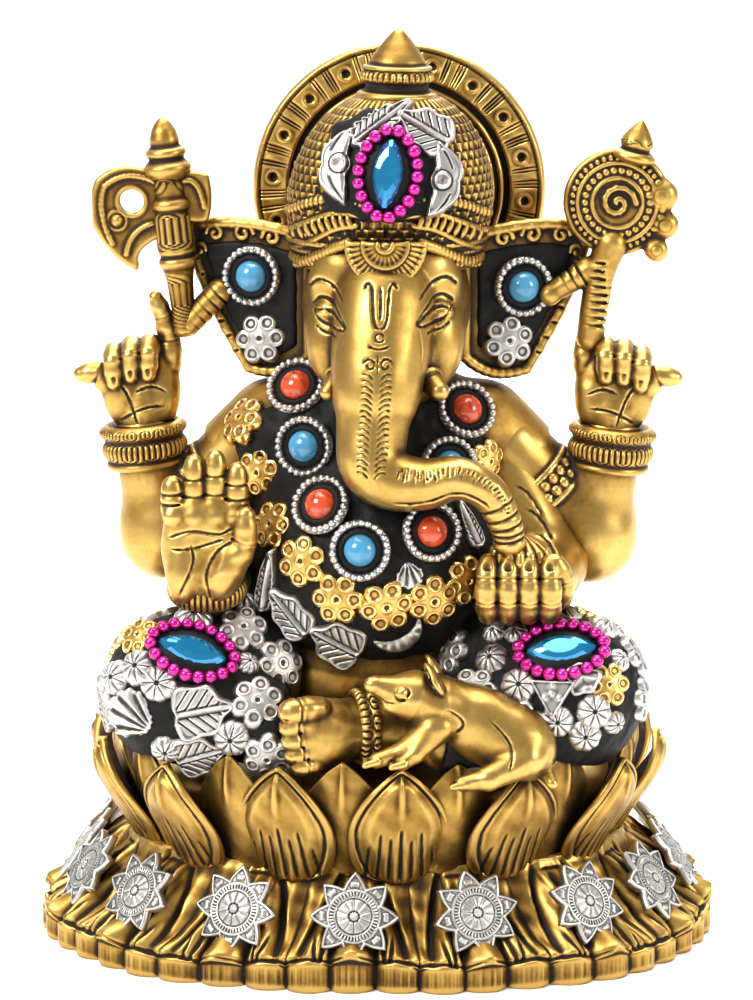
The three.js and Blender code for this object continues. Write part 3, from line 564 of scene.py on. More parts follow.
def studio():
    """A pale sweep that rises behind the idol, a pale world and four soft lamps."""
    floor, t, p = graph("floor")
    p.inputs["Base Color"].default_value = (0.90, 0.90, 0.90, 1)
    p.inputs["Roughness"].default_value = 0.9
    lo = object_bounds()[0]
    bend = [(1.3 + 0.9 * sin(a), 0.9 - 0.9 * cos(a)) for a in np.linspace(0.15, 1.5, 10)]
    sweep = [(-14.0, 0.0), (1.3, 0.0)] + bend + [(2.2, 4.0)]
    mesh = bpy.data.meshes.new("floor")
    points = [(x, y, z + lo.z) for y, z in sweep for x in (-14.0, 14.0)]
    mesh.from_pydata(points, [], [(2 * i, 2 * i + 1, 2 * i + 3, 2 * i + 2) for i in range(len(sweep) - 1)])
    mesh.polygons.foreach_set("use_smooth", np.ones(len(sweep) - 1, bool))
    mesh.materials.append(floor)
    ground = bpy.data.objects.new("floor", mesh)
    bpy.context.scene.collection.objects.link(ground)
    ground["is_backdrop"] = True
    world = bpy.data.worlds.new("studio")
    bpy.context.scene.world = world
    world.use_nodes = True
    t = world.node_tree
    up = node(t, "ShaderNodeSeparateXYZ", {0: node(t, "ShaderNodeTexCoord").outputs["Generated"]}).outputs[2]
    shade = ramp(t, maths(t, "MULTIPLY", maths(t, "ADD", up, 1.0), 0.5),
        [(0.30, (0.16, 0.15, 0.14)), (0.46, (0.34, 0.33, 0.32)), (0.50, (0.80, 0.79, 0.78)),
        (0.72, (1.0, 0.99, 0.97)), (1.0, (0.60, 0.60, 0.60))])
    t.links.new(shade, t.nodes["Background"].inputs["Color"])
    t.nodes["Background"].inputs["Strength"].default_value = 0.52
    for at, size, watts in (((-0.60, -0.55, 0.70), 0.40, 10.0), ((0.80, -0.35, 0.40), 0.30, 3.6),
            ((0.05, 0.75, 0.85), 0.55, 7.0), ((0.0, -0.10, 1.1), 0.5, 4.5)):
        lamp = bpy.data.lights.new("softbox", "AREA")
        lamp.size, lamp.energy = size, watts
        o = bpy.data.objects.new("softbox", lamp)
        o.location = at
        o.rotation_mode = "QUATERNION"
        o.rotation_quaternion = (Vector(at) - Vector((0, 0, 0.09))).to_track_quat("Z", "Y")
        bpy.context.scene.collection.objects.link(o)
    glow = bpy.data.lights.new("backdrop_light", "AREA")
    glow.size, glow.energy = 2.6, 95.0
    o = bpy.data.objects.new("backdrop_light", glow)
    o.location = (0, 0.9, 2.6)
    o.rotation_mode = "QUATERNION"
    o.rotation_quaternion = (Vector((0, -0.9, 1.6))).to_track_quat("Z", "Y")
    bpy.context.scene.collection.objects.link(o)
    eye = bpy.data.cameras.new("camera")
    eye.lens, eye.sensor_width = 125, 36
    camera = bpy.data.objects.new("camera", eye)
    bpy.context.scene.collection.objects.link(camera)
    back = Vector(towards_camera())
    picture_height = 0.220
    camera.location = Vector(LOOK_AT * MM) + back * (picture_height / eye.sensor_width * eye.lens)
    camera.rotation_mode = "QUATERNION"
    camera.rotation_quaternion = back.to_track_quat("Z", "Y")
    eye.clip_start, eye.clip_end = 0.05, 20
    bpy.context.scene.camera = camera
    bpy.context.scene.view_settings.view_transform = "Standard"


# ---- Ornament patterns, all stamped from angle and radius ----
def star(points=9):
    def outline(h):
        w = np.abs(((h * points / TAU + 0.5) % 1) - 0.5) * 2
        return 6.1 + 3.0 * (1 - w) ** 1.1

    def relief(x, y, s, h):
        r = np.hypot(x, y)
        edge = outline(h)
        rim = bump(edge - r - 0.45, 0.34) * 0.32
        z = 1.0 - 0.25 * ease((r - 5.0) / 3) + rim * (r > 4.6)
        w = np.abs(((h * points / TAU + 0.5) % 1) - 0.5) * 2
        z = z + 0.26 * bump(r - 6.5, 0.42) * (w < 0.35)
        milled = 0.22 * (0.5 + 0.5 * np.sign(np.sin(h * 44)))
        z = z + np.where((r > 4.15) & (r < 5.0), milled, 0) + bump(r - 5.25, 0.2) * 0.2 + bump(r - 3.95,
            0.16) * 0.2
        wheel = (0.55 * (1 - ease(r / 3.9)) + 0.26 * np.abs(np.cos(h * 5)) ** 0.6 * ease(r / 1.2)
            * (1 - ease((r - 3.1) / 0.7)))
        return z + wheel - 0.26 * bump(r - 1.05, 0.24) + 0.25 * bump(r, 0.6)
    return stamp(outline, relief, rings=44, spokes=216, skirt=0.5)


def floret():
    """A pressed flower: round dimpled petals with raised edges, and a dimpled button in the middle."""
    petals, far, wide = 6, 3.45, 1.95

    def outline(h):
        a = (h + pi / petals) % (TAU / petals) - pi / petals
        return far * np.cos(a) + np.sqrt(np.maximum(wide ** 2 - (far * np.sin(a)) ** 2, 0.12))

    def relief(x, y, s, h):
        r = np.hypot(x, y)
        a = (h + pi / petals) % (TAU / petals) - pi / petals
        d = np.hypot(r * np.cos(a) - far, r * np.sin(a))
        z = 1.9 - 0.032 * r ** 2 + 0.14 * bump(d - 1.22, 0.2) - 0.27 * (1 - ease((d - 0.62) / 0.50))
        z = z - 0.45 * ease((d - 1.75) / 0.3) * ease((r - 2.7) / 0.6)
        return (z + 0.12 * bump(r - 0.85, 0.25) - 0.34 * (1 - ease((r - 0.3) / 0.3))
            - 0.5 * ease((s - 0.90) / 0.10))
    return stamp(outline, relief, rings=36, spokes=144)


def melon():
    """A domed bead with flutes running down from the top."""
    lobes = 9

    def outline(h):
        return 3.4 + 0.22 * np.abs(np.cos(h * lobes / 2))

    def relief(x, y, s, h):
        dome = 2.5 * np.sqrt(np.clip(1 - s ** 2.2, 0, 1))
        flute = np.abs(np.cos(h * lobes / 2)) ** 0.5
        return dome * (0.80 + 0.20 * flute * ease(s / 0.25)) - 0.35 * bump(s, 0.12) + 0.1
    return stamp(outline, relief, rings=16, spokes=90)


def leaf(long, wide, teeth, deep, veins):
    """A leaf along +y: a midrib, side veins and a curled edge."""
    def outline(h):
        t = h - pi / 2
        c, s = np.cos(t), np.sin(t)
        body = 1 / np.sqrt((c / (long / 2)) ** 2 + (s / (wide / 2)) ** 2)
        away = np.abs((t + pi) % TAU - pi)
        saw = 0.5 - 0.5 * np.cos(away / pi * teeth * TAU)
        heart = (1 + 0.24 * bump(away, 0.20) + 0.16 * bump(away - 2.35, 0.5) - 0.22 * bump(away - pi, 0.30))
        return body * heart * (1 - deep * saw)

    def relief(x, y, s, h):
        rib = 0.42 * bump(x, 0.36) - 0.30 * bump(np.abs(x) - 0.75, 0.24)
        fold = (((y - np.abs(x) * 0.9) / veins) % 1)
        vein = -0.42 * bump(fold - 0.5, 0.11) * ease((np.abs(x) - 0.5) / 0.5) * ease((0.88 - s) / 0.12)
        z = (1.45 + 0.35 * bump(s - 0.90, 0.07) + rib * (1 - s ** 4) + vein
            - 0.10 * (np.abs(x) / wide * 2) ** 2 * 3)
        return z - 0.8 * ease((s - 0.95) / 0.05)
    return stamp(outline, relief, rings=34, spokes=140)


def twin_leaf():
    """Two plain leaves joined at a ringed boss, hollow on one side."""
    angles = np.radians([0, 32, 50, 61, 69, 74, 86, 110, 140, 165, 185, 205, 225, 250, 270, 281, 287, 297,
        311, 330, 360])
    far = (2.4, 2.4, 2.6, 3.5, 5.8, 8.4, 7.3, 5.7, 4.9, 4.2, 3.9, 4.8, 5.8, 6.5, 7.6, 8.8, 6.0, 3.4, 2.6, 2.4,
        2.4)

    def outline(h):
        return np.interp(h % TAU, angles, far)

    def relief(x, y, s, h):
        d = np.hypot(x, y)
        z = 1.5 + 0.30 * bump(s - 0.9, 0.08) - 0.36 * bump(x + 2.4 - 0.065 * y ** 2,
            0.30) * ease((np.abs(y) - 2.2) / 0.8)
        z = np.where(d < 2.3, 1.75 + 0.35 * bump(d - 1.5, 0.35) - 0.45 * bump(d - 2.15, 0.22)
            - 0.35 * bump(d, 0.8), z)
        return z + 0.8 * (1 - s ** 2) - 0.9 * ease((s - 0.95) / 0.05)
    return stamp(outline, relief, rings=34, spokes=160)


def scallop(long=4.2, ribs=7):
    """A small ribbed fan."""
    def outline(h):
        up = np.clip(np.sin(h), -0.3, 1)
        return np.where(up > 0, long * (0.72 + 0.28 * up), long * 0.72 * (1 + up)) * (1
            + 0.05 * np.cos(h * ribs * 2))

    def relief(x, y, s, h):
        fold = 0.28 * np.cos(np.arctan2(x, y + long * 0.7) * ribs * 2.4)
        return 1.1 + fold * ease((y + long * 0.5) / 1.6) - 0.4 * s ** 4
    return stamp(outline, relief, rings=18, spokes=80)


def crescent():
    """A beaded crescent moon lying open side up."""
    arc = np.linspace(radians(200), radians(340), 30)
    middle = np.array([0, 3.4])
    rows, cols = [], 14
    for h, share in zip(arc, np.linspace(0, 1, 30)):
        half = 0.25 + 1.5 * sin(share * pi) ** 0.8
        r = 6.1 + np.cos(np.arange(cols) / cols * TAU) * half
        z = 0.6 + 0.75 * np.sin(np.arange(cols) / cols * TAU) * (0.6 + 0.4 * cos(share * 22) ** 2)
        rows.append(np.stack([middle[0] + r * cos(h), middle[1] + r * sin(h), z], -1))
    pts = np.array(rows)
    faces = grid_faces(30, cols, True)
    first = np.concatenate([pts.reshape(-1, 3), pts[0].mean(0)[None], pts[-1].mean(0)[None]])
    tris = np.concatenate([fan(30 * cols, np.arange(cols), True),
        fan(30 * cols + 1, 29 * cols + np.arange(cols))])
    return first, faces[:, ::-1], tris[:, ::-1]


STAR, FLORET = star(8), floret()


# ---- Lotus base ----
def plan_circle(h, rx, ry):
    """The plan of the base: an oval a little squarer than an ellipse."""
    power = 2.35
    return (np.abs(np.cos(h) / rx) ** power + np.abs(np.sin(h) / ry) ** power) ** (-1 / power)


def skirt():
    hi = box("lotus_skirt")[1]
    rx, ry, tall, petals = hi[0] - 0.4, hi[1] - 0.4, hi[2], 16
    crown_x, crown_y = rx - 20.0, ry - 16.5
    cols, rows = 1400, 92
    h = np.arange(cols) / cols * TAU
    # even steps in this angle keep the tongues as wide at the ends
    around = np.unwrap(np.arctan2(np.sin(h) / ry, np.cos(h) / rx))
    turn = (around + pi / 2 + 0.045) * petals / TAU
    w = np.abs(((turn + 0.5) % 1) - 0.5) * 2          # 0 at the middle of a tongue, 1 between two
    t = np.linspace(0, 1, rows)[:, None]
    outer = plan_circle(h, rx, ry)[None, :]
    inner = plan_circle(h, crown_x, crown_y)[None, :]
    lobe = np.abs(np.cos(turn * 1.5 * TAU)) ** 0.6
    low = 4.2 + 2.0 * lobe + 0.7 * np.sin(h * 3.0) + 0.5 * np.sin(h * 7 + 1)
    # the rim band, then a slope that climbs to the cup
    band = t < 0.2
    up = np.clip((t - 0.2) / 0.8, 0, 1)
    z = np.where(band, low * t / 0.2, low + (tall - low) * up ** 1.15)
    scallop_out = -2.3 * (1 - lobe) - 1.6 * (0.5 - 0.5 * np.cos(h * 11 + 1)) * (1 - 0.4 * lobe)
    r_low = outer + scallop_out
    r = r_low + (inner - r_low) * (0.10 * up + 0.90 * (1 - (1 - up) ** 1.5) ** 0.95) * (up > 0)
    half = 0.80 - 0.50 * up ** 1.5
    tongue = ease((half - w) / 0.22)
    lift = 2.3 * tongue * np.sin(np.clip(up * 1.12, 0, 1) * pi) ** 0.6
    pleat = 0.42 * np.cos(w * 21) * bump(up - 0.62, 0.26) * tongue
    nose = 1.5 * bump(w, 0.20 + 0.16 * (1 - up)) * bump(up - 0.02, 0.15)
    heart = -0.9 * bump(np.abs(w - 0.36 + up * 0.3), 0.07) * bump(up - 0.18, 0.22)
    behind = 1.0 * bump(1 - w, 0.22) * bump(up - 0.08, 0.16) + 0.9 * bump(1 - w, 0.07) * bump(up - 0.12, 0.16)
    fork = -1.1 * bump(np.abs(w - 0.52) - 0.03 - 0.25 * up, 0.035) * bump(up - 0.10, 0.14)
    groove = -1.7 * bump(w - half - 0.02, 0.06) * np.sin(np.clip(up, 0, 1) * pi) ** 0.5
    scratch = 0.014 * np.sin(h * 431 + 2 * np.sin(h * 37)) + 0.035 * np.sin(h * 167 + 3 * np.sin(h * 23))
    brushed = scratch[None, :] * band * np.sin(np.clip(t / 0.2, 0, 1) * pi)
    dent = (0.55 * np.sin(h * 5 + 1) * np.sin(z * 0.2 + h * 9) + 0.40 * np.sin(h * 41 + z * 0.7)
        * np.sin(h * 29 - z * 0.9))
    lip = -1.3 * bump((t - 0.2) / 0.8 - 0.03, 0.025) * (0.4 + 0.6 * w)
    push = (lift + pleat + nose + heart + behind + fork + groove
        + 0.5 * dent * (~band)) * (up > 0) + brushed + lip
    r = r + push - 0.4 * bump(t, 0.02)
    z = z + 0.55 * push * (up > 0)
    r = np.minimum(r, outer)
    outside = np.stack([r * np.cos(h), r * np.sin(h), z + 0 * h], -1)
    top = outside[-1][None] * np.array([0.2, 0.2, 1])
    hollow = [(0.90, 0.0), (0.84, 0.6), (0.80, 8), (0.72, 15), (0.60, tall - 4.6), (0.02, tall - 4.6)]
    ring = plan_circle(h, rx, ry)
    under = np.array([np.stack([ring * s * np.cos(h), ring * s * np.sin(h), np.full(cols, zz)], -1)
        for s, zz in hollow])
    rows_all = np.concatenate([under[::-1], outside, top])
    build, n = Build(), len(rows_all)
    ends = np.array([[0, 0, tall - 4.6], [0, 0, rows_all[-1, 0, 2]]])
    build.add(np.concatenate([rows_all.reshape(-1, 3), ends]), grid_faces(n, cols, True))
    for face in (fan(n * cols, np.arange(cols), True), fan(n * cols + 1, (n - 1) * cols + np.arange(cols))):
        build.cover(face)
    stand_in("lotus_skirt", build, CAST)
    stars = Build()
    for k in range(petals):
        t = -pi / 2 - 0.045 + k * TAU / petals
        a = atan2(sin(t) * ry, cos(t) * rx)
        i = int(round((a % TAU) / TAU * cols)) % cols
        column = outside[:, i]
        j = int(np.argmin(np.abs(column[:, 2] - 14.8) + (column[:, 2] < 9) * 50))
        out = unit([cos(a) / crown_x, sin(a) / crown_y, 0])
        normal = unit(out + np.array([0, 0, 0.42 + 0.34 * cos(t) ** 2]))
        near = outside[4:].reshape(-1, 3) - column[j]
        near = near[np.linalg.norm(near, axis=1) < 7.0]
        centre = column[j] + normal * (np.percentile(near @ normal, 97) - 0.2)
        press(stars, STAR, frame_at(centre, normal), 1.04, 0.17 * (k % 5))
    publish("stamped_stars", stars, SILVER)


def petal(base, out, wide, tall, flare, curl, thick, border):
    """One bulging lotus petal standing at base and leaning along out."""
    out = unit(out)
    side = np.cross([0, 0, 1], out)
    v = np.linspace(0, 1, 54)[:, None]
    u = np.linspace(-1, 1, 64)[None, :]
    onion = np.where(v < 0.36, 0.62 + 0.38 * np.sqrt(np.clip(1 - ((0.36 - v) / 0.36) ** 2, 0, 1)),
        np.cos(np.clip((v - 0.36) / 0.64, 0, 1) * pi / 2) ** 0.74)
    half = wide * np.maximum(onion, 0.035)
    x = half * u
    belly = flare * ease(v / 0.85) + 3.6 * np.sin((v * 0.87 + 0.08) * pi) ** 0.8 * (1 - 0.3 * v)
    cupped = -0.24 * (x ** 2) / wide * (1 + 0.4 * v)
    y = belly + cupped + curl * ease((v - 0.72) / 0.28)
    z = tall * (v ** 0.94) * (1 - 0.05 * u ** 2 * (1 - v)) - 1.5 * (1 - v) ** 3 * (1 - u ** 2)
    from_edge = half * (1 - np.abs(u)) * np.minimum(1, 0.55 + v)
    d = np.zeros_like(x)
    if border:
        d = d - 0.60 * bump(from_edge - 1.65, 0.28) + 0.65 * ease((from_edge - 1.9) / 2.6)
        d = d + 0.25 * bump(from_edge - 0.8, 0.5)
    d = d + 0.55 * bump(x, 0.5 + 0.9 * (1 - v)) * ease((v - 0.45) / 0.4)
    if border:
        for k, height in zip((-3, -2, -1, 0, 1, 2, 3), (0.30, 0.42, 0.38, 0.46, 0.36, 0.43, 0.28)):
            centre = k * wide * 0.215
            width = 0.34 + 0.5 * np.clip(1 - v / height, 0, 1)
            d = d - 0.60 * bump(x - centre * (1 - 0.25 * v), width * 0.62) * (1
                - ease((v - height + 0.06) / 0.08))
    d = d + 0.05 * np.sin(x * 0.9 + z * 0.5 + base[0]) * np.sin(z * 0.6 + base[1])
    front = (np.array(base) + side * x[..., None] + out * (y + d)[..., None]
        + np.array([0, 0, 1]) * (z + 0.2 * d)[..., None])
    t = thick * (0.45 + 0.55 * np.sqrt(np.clip(1 - u ** 4, 0, 1))) * (1 - 0.45 * v)
    rear = front - out * (t + d)[..., None]
    return shell(front, rear)


def cup():
    lo = box("lotus_cup")[0]
    rx, ry, z0 = 55.5, 40.0, lo[2] - 0.8
    build = Build()
    h = np.arange(160) / 160 * TAU
    profile = [(0.25, -3), (0.88, -3.5), (0.90, 0), (0.88, 3), (0.90, 8), (0.93, 13), (0.90, 16.0),
        (0.84, 16.6), (0.3, 16.6)]
    rows = [np.stack([plan_circle(h, rx * s, ry * s) * np.cos(h), plan_circle(h, rx * s, ry * s) * np.sin(h),
        np.full(160, z0 + zz)], -1) for s, zz in profile]
    pts = np.concatenate([np.array(rows).reshape(-1, 3), [[0, 0, z0 - 3], [0, 0, z0 + 16.6]]])
    build.add(pts, grid_faces(len(rows), 160, True))
    for face in (fan(160 * len(rows), np.arange(160), True),
            fan(160 * len(rows) + 1, 160 * (len(rows) - 1) + np.arange(160))):
        build.cover(face)
    for grow, tall, flare, wide, border, shift in ((0.90, 25.0, 3.4, 10.2, False, 0.76),
            (0.94, 24.2, 5.0, 11.2, True, 0.26)):
        for k in range(14):
            t = -pi / 2 + (k + shift) * TAU / 14
            a = atan2(sin(t) * ry, cos(t) * rx)
            r = float(plan_circle(np.array([a]), rx * grow, ry * grow)[0])
            out = np.array([cos(a) / rx, sin(a) / ry, 0])
            base = [r * cos(a), r * sin(a), z0 - (1.2 if border else 0)]
            size = 1.0 + 0.05 * rng.uniform(-1, 1)
            build.add(*petal(base, out, wide * (1.0 - 0.13 * cos(t) ** 2), tall * size,
                flare * (1 + 0.9 * cos(t) ** 2), 0.4 + 0.3 * rng.uniform(-1, 1), 2.6, border))
    stand_in("lotus_cup", build, CAST)


# ---- More shapes ----
def flat(outline, place, half, rounding=0.4):
    """A plate cut to an outline in its own plane."""
    pts, (axes, origin) = np.array(outline, float), place
    lo, hi, cell = pts.min(0) - 5, pts.max(0) + 5, 0.2
    u, v = np.meshgrid(np.arange(lo[0], hi[0], cell), np.arange(lo[1], hi[1], cell), indexing="ij")
    best, inside = np.full(u.shape, 1e9), np.zeros(u.shape, bool)
    for p, q in zip(pts, np.roll(pts, -1, 0)):
        e = q - p
        k = np.clip(((u - p[0]) * e[0] + (v - p[1]) * e[1]) / (e @ e + 1e-9), 0, 1)
        best = np.minimum(best, (u - p[0] - e[0] * k) ** 2 + (v - p[1] - e[1] * k) ** 2)
        crosses = ((p[1] > v) != (q[1] > v)) & (u < (q[0] - p[0]) * (v - p[1]) / (q[1] - p[1] + 1e-12) + p[0])
        inside ^= crosses
    table = (np.sqrt(best) * np.where(inside, -1, 1) + rounding).astype(np.float32)

    def fn(x, y, z):
        q = [(x - origin[0]) * a[0] + (y - origin[1]) * a[1] + (z - origin[2]) * a[2] for a in axes]
        i = np.clip((q[0] - lo[0]) / cell, 0, table.shape[0] - 1.001)
        j = np.clip((q[1] - lo[1]) / cell, 0, table.shape[1] - 1.001)
        i0, j0 = i.astype(int), j.astype(int)
        fi, fj = i - i0, j - j0
        d = (table[i0, j0] * (1 - fi) * (1 - fj) + table[i0 + 1, j0] * fi * (1 - fj)
            + table[i0, j0 + 1] * (1 - fi) * fj + table[i0 + 1, j0 + 1] * fi * fj)
        w = np.abs(q[2]) - half + rounding
        return (np.sqrt(np.maximum(d, 0) ** 2 + np.maximum(w, 0) ** 2) + np.minimum(np.maximum(d, w), 0)
            - rounding)
    corners = np.array([[a, b, c] for a in (pts[:, 0].min(), pts[:, 0].max())
        for b in (pts[:, 1].min(), pts[:, 1].max()) for c in (-half, half)]) @ axes + origin
    return fn, corners.min(0), corners.max(0)


def full_row(row):
    """A profile row of (radius, height), with no ripple and no lobes unless it names them."""
    return (*row, 0, 0)[:4]


def lathe(build, profile, place, cols):
    """Turns a profile of (radius, height, ripple, lobes) round a place's own normal."""
    h = np.arange(cols) / cols * TAU
    rows = []
    for r, z, ripple, lobes in (full_row(p) for p in profile):
        rr = r + ripple * np.abs(np.cos(h * lobes / 2)) - ripple
        rows.append(np.stack([rr * np.cos(h), rr * np.sin(h), np.full(cols, z)], -1))
    pts, first = np.array(rows).reshape(-1, 3), build.count
    ends = np.array([[0, 0, profile[0][1]], [0, 0, profile[-1][1]]])
    build.add(laid(np.concatenate([pts, ends]), place), grid_faces(len(rows), cols, True))
    last = cols * len(rows)
    for face in (fan(last, np.arange(cols), True), fan(last + 1, last - cols + np.arange(cols))):
        build.cover(face, first)


def profile_line(points, fine):
    """Fills a coarse turned profile with in-between rings, rounding its corners a little."""
    rows, points = [], [full_row(p) for p in points]
    for p, q in zip(points, points[1:]):
        p, q = np.array(p, float), np.array(q, float)
        n = max(2, int(np.hypot(*(q - p)[:2]) / fine))
        rows += [p + (q - p) * k / n for k in range(n)]
    rows = np.array(rows + [np.array(points[-1], float)])
    for _ in range(2):
        rows[1:-1, :2] = (rows[:-2, :2] + 2 * rows[1:-1, :2] + rows[2:, :2]) / 4
    return [tuple(r) for r in rows]


def waves(x, y, z, scale, seed=0.0):
    """A gentle unevenness like a hand-finished casting."""
    a = x * 0.81 + y * 0.47 + z * 0.35
    b = z * 0.88 - x * 0.40 + y * 0.21
    c = y * 0.79 - z * 0.52 + x * 0.30
    return (np.sin(a * scale + seed + 0.7 * np.sin(b * scale * 0.7)) * np.sin(b * scale * 1.13 + 2 * seed)
        + 0.5 * np.sin(c * scale * 1.9 + 1 + np.sin(a * scale * 1.3)))


# ---- Body, legs and mastic ----
BELLY, CHEST = np.array([0, -2, 83.0]), np.array([0, 5, 108.0])


def torso():
    clay = Clay((-38, -32, 38.2), (38, 34, 131), 0.5)
    clay.put(ball(BELLY, (27.5, 25.0, 27.0)), 0).put(ball(CHEST, (32.0, 16.0, 17.0)), 7)
    clay.put(cone((0, 5, 118), (1.5, 3, 128), 15.0, 13.0), 4).put(ball((0, 3, 58), (31.0, 26.0, 18.0)), 6)
    clay.put(cone((-24, 6, 112), (-31, 6, 105), 9, 9), 3).put(cone((24, 6, 112), (31, 6, 105), 9, 9), 3)
    for k in range(26):
        a = radians(-10 + k * 200 / 25)
        clay.put(ball((26.6 * cos(a), 3 + 23.2 * sin(a), 70 + 0.8 * sin(k)), (2.3, 2.3, 1.7)), 0.5)
    clay.cut(cone((0, 25.5, 74), (0, 21.6, 112), 1.5, 1.0), 5.0)
    for k in range(13):
        a = radians(15 + k * 150 / 12)
        top = np.array([28.0 * cos(a), 3 + 24.5 * sin(a), 67])
        foot = np.array([31.0 * cos(a), 3 + 26.5 * sin(a), 45])
        clay.cut(cone(top, foot, 0.35, 0.9), 0.8)
    clay.uneven(0.07, 0.42)
    clay.cut(slab((0, 0, 36), np.eye(3), (60, 60, 3.4), 0.2))
    stand_in("torso", clay.mesh(), CAST)


def patch(x, z, centre, half, power):
    """Below zero inside a rounded region seen from the front."""
    u, w = np.abs(x - centre[0]) / half[0], np.abs(z - centre[1]) / half[1]
    return ((u ** power + w ** power) ** (1 / power) - 1) * min(half)


def belly_mastic():
    clay = Clay((-36, -33, 58), (30, 12, 122), 0.42)
    clay.put(ball(BELLY, np.array([27.5, 25, 27]) + 1.5), 0)
    clay.put(ball(CHEST, np.array([33, 16, 17]) + 1.5), 7)
    clay.uneven(0.14, 0.9, 2)

    def region(x, y, z):
        wavy = 1.1 * np.sin(z * 0.33) + 0.7 * np.sin(x * 0.41 + z * 0.2)
        here = patch(x, z, (-3.6, 91.6), (28.8, 30.2), 3.2) + wavy
        collar = 7.5 - np.sqrt((x - 1) ** 2 + (z - 127) ** 2)
        return np.maximum(np.maximum(here, y + 0.1 * z - 10), collar)
    clay.keep((region, None, None), 1.2)
    stand_in("belly_mastic", clay.mesh(), MASTIC)
    return clay


def leg_clay(side, grow=0.0, step=0.45):
    lo, hi = (-62, -46, 38.2), (-2, 22, 84)
    if side > 0:
        lo, hi = (2, -46, 38.2), (62, 22, 84)
    clay = Clay(lo, hi, step)
    clay.put(cone((side * 15, 2, 60), (side * 41.2, -19.5, 57), 16.6 + grow, 15.4 + grow), 0)
    clay.put(cone((side * 41.2, -19.5, 57), (-21.5, -29.0, 51.5) if side < 0 else (16, -31.5, 51),
        14.6 + grow, 7.6 + grow), 3)
    return clay


def legs():
    covers = {}
    for side, name in SIDES:
        clay = leg_clay(side)
        for k in range(9):
            z = 48 + k * 3.4
            clay.cut(cone((side * (30 + k), 12 - k * 0.5, z), (side * 56, -12 + k, z - 3), 0.5, 0.25), 0.9)
        clay.uneven(0.07, 0.5, side)
        clay.cut(slab((0, 0, 36), np.eye(3), (80, 60, 3.4), 0.2))
        stand_in(name + "_leg", clay.mesh(), CAST)
        cover = leg_clay(side, 1.6, 0.42)
        cover.uneven(0.14, 0.9, 2 * side)

        def region(x, y, z):
            low = 43.6 + 1.2 * np.sin(x * 0.35) - z
            back = y - 3.5 - 1.5 * np.sin(x * 0.2)
            inner = (18.6 if side < 0 else 15.2) + 0.8 * np.sin(z * 0.4) - side * x
            return np.maximum(np.maximum(low, back), inner)
        cover.keep((region, None, None), 1.2)
        stand_in(name + "_leg_mastic", cover.mesh(), MASTIC)
        covers[side] = cover
    return covers


# ---- Arms and hands ----
def rear_arms():
    for side, name in SIDES:
        lo = (min(side * 22, side * 60), -8, 72)
        clay = Clay(lo, (max(side * 22, side * 60), 20, 120), 0.42)
        clay.put(cone((side * 28, 5, 107), (side * 46, 7, 87.5), 9, 9.2), 0)
        clay.put(cone((side * 46.5, 7, 87), (side * 51.2, 5, 109), 9.6, 7.0), 3)
        clay.put(ball((side * 47.4, 7, 86.5), (9.6, 9.8, 10)), 4)
        a, b = np.array([side * 28, 5, 107]), np.array([side * 46, 7, 87.5])
        along, mid = unit(b - a), a + (b - a) * 0.46
        clay.put(hoop(mid - along * 3.0, along, 8.9, 0.8), 0.25).put(hoop(mid + along * 3.0, along, 9.0, 0.8),
            0.25)
        for ring, offset in ((0, -1.2), (1, 1.2)):
            for k in range(22):
                t = (k + ring / 2) / 22 * TAU
                u = unit(np.cross(along, [0, 1, 0]))
                w = np.cross(along, u)
                p = mid + along * offset + (u * cos(t) + w * sin(t)) * 8.85
                clay.put(ball(p, 1.35), 0.15)
        clay.uneven(0.035, 0.55, side)
        stand_in(name + "_rear_arm", clay.mesh(), BRASS)
        cuff = Build()
        c = middle_of(name + "_rear_bracelet")
        axis = unit([side * 0.1, 0, 1])
        edge = [(6.6, -5.0), (8.3, -5.2), (9.0, -4.4), (8.6, -3.6), (8.4, -3.2), (9.3, -2.2, 0.5, 44),
            (9.6, -0.8, 0.7, 44), (9.2, 0.6, 0.6, 44), (8.5, 1.0), (8.9, 1.9), (9.8, 2.7, 0.45, 60),
            (9.8, 3.6, 0.45, 60), (8.9, 4.3), (8.4, 4.8), (6.6, 4.8)]
        lathe(cuff, profile_line(edge, 0.3), frame_at(c, axis, (1, 0, 0)), 264)
        stand_in(name + "_rear_bracelet", cuff, CAST)


def finger(clay, joints, radii, crease=0.28):
    """A finger through its joints, thicker at each joint's pad, with a crease at each bend."""
    for i, (p, q) in enumerate(zip(joints, joints[1:])):
        p, q = np.array(p, float), np.array(q, float)
        clay.put(cone(p, q, radii[i], radii[i + 1]), 0.5)
        clay.put(ball((p + q) / 2, (radii[i] + radii[i + 1]) / 2 * 1.08), 1.0)
    for i in range(1, len(joints) - 1):
        along = unit(np.array(joints[i + 1], float) - np.array(joints[i - 1], float))
        clay.cut(hoop(joints[i], along, radii[i] + 0.32, crease), 0.25)


def nail(clay, tip, way, r):
    """A flat nail bed on the side of a fingertip that way points to."""
    clay.cut(egg(np.array(tip) + unit(way) * (r + 0.35), (way, (0.1, 0, 1), np.cross(way, (0.1, 0, 1))),
        (0.55, r * 0.95, r * 0.7)), 0.15)


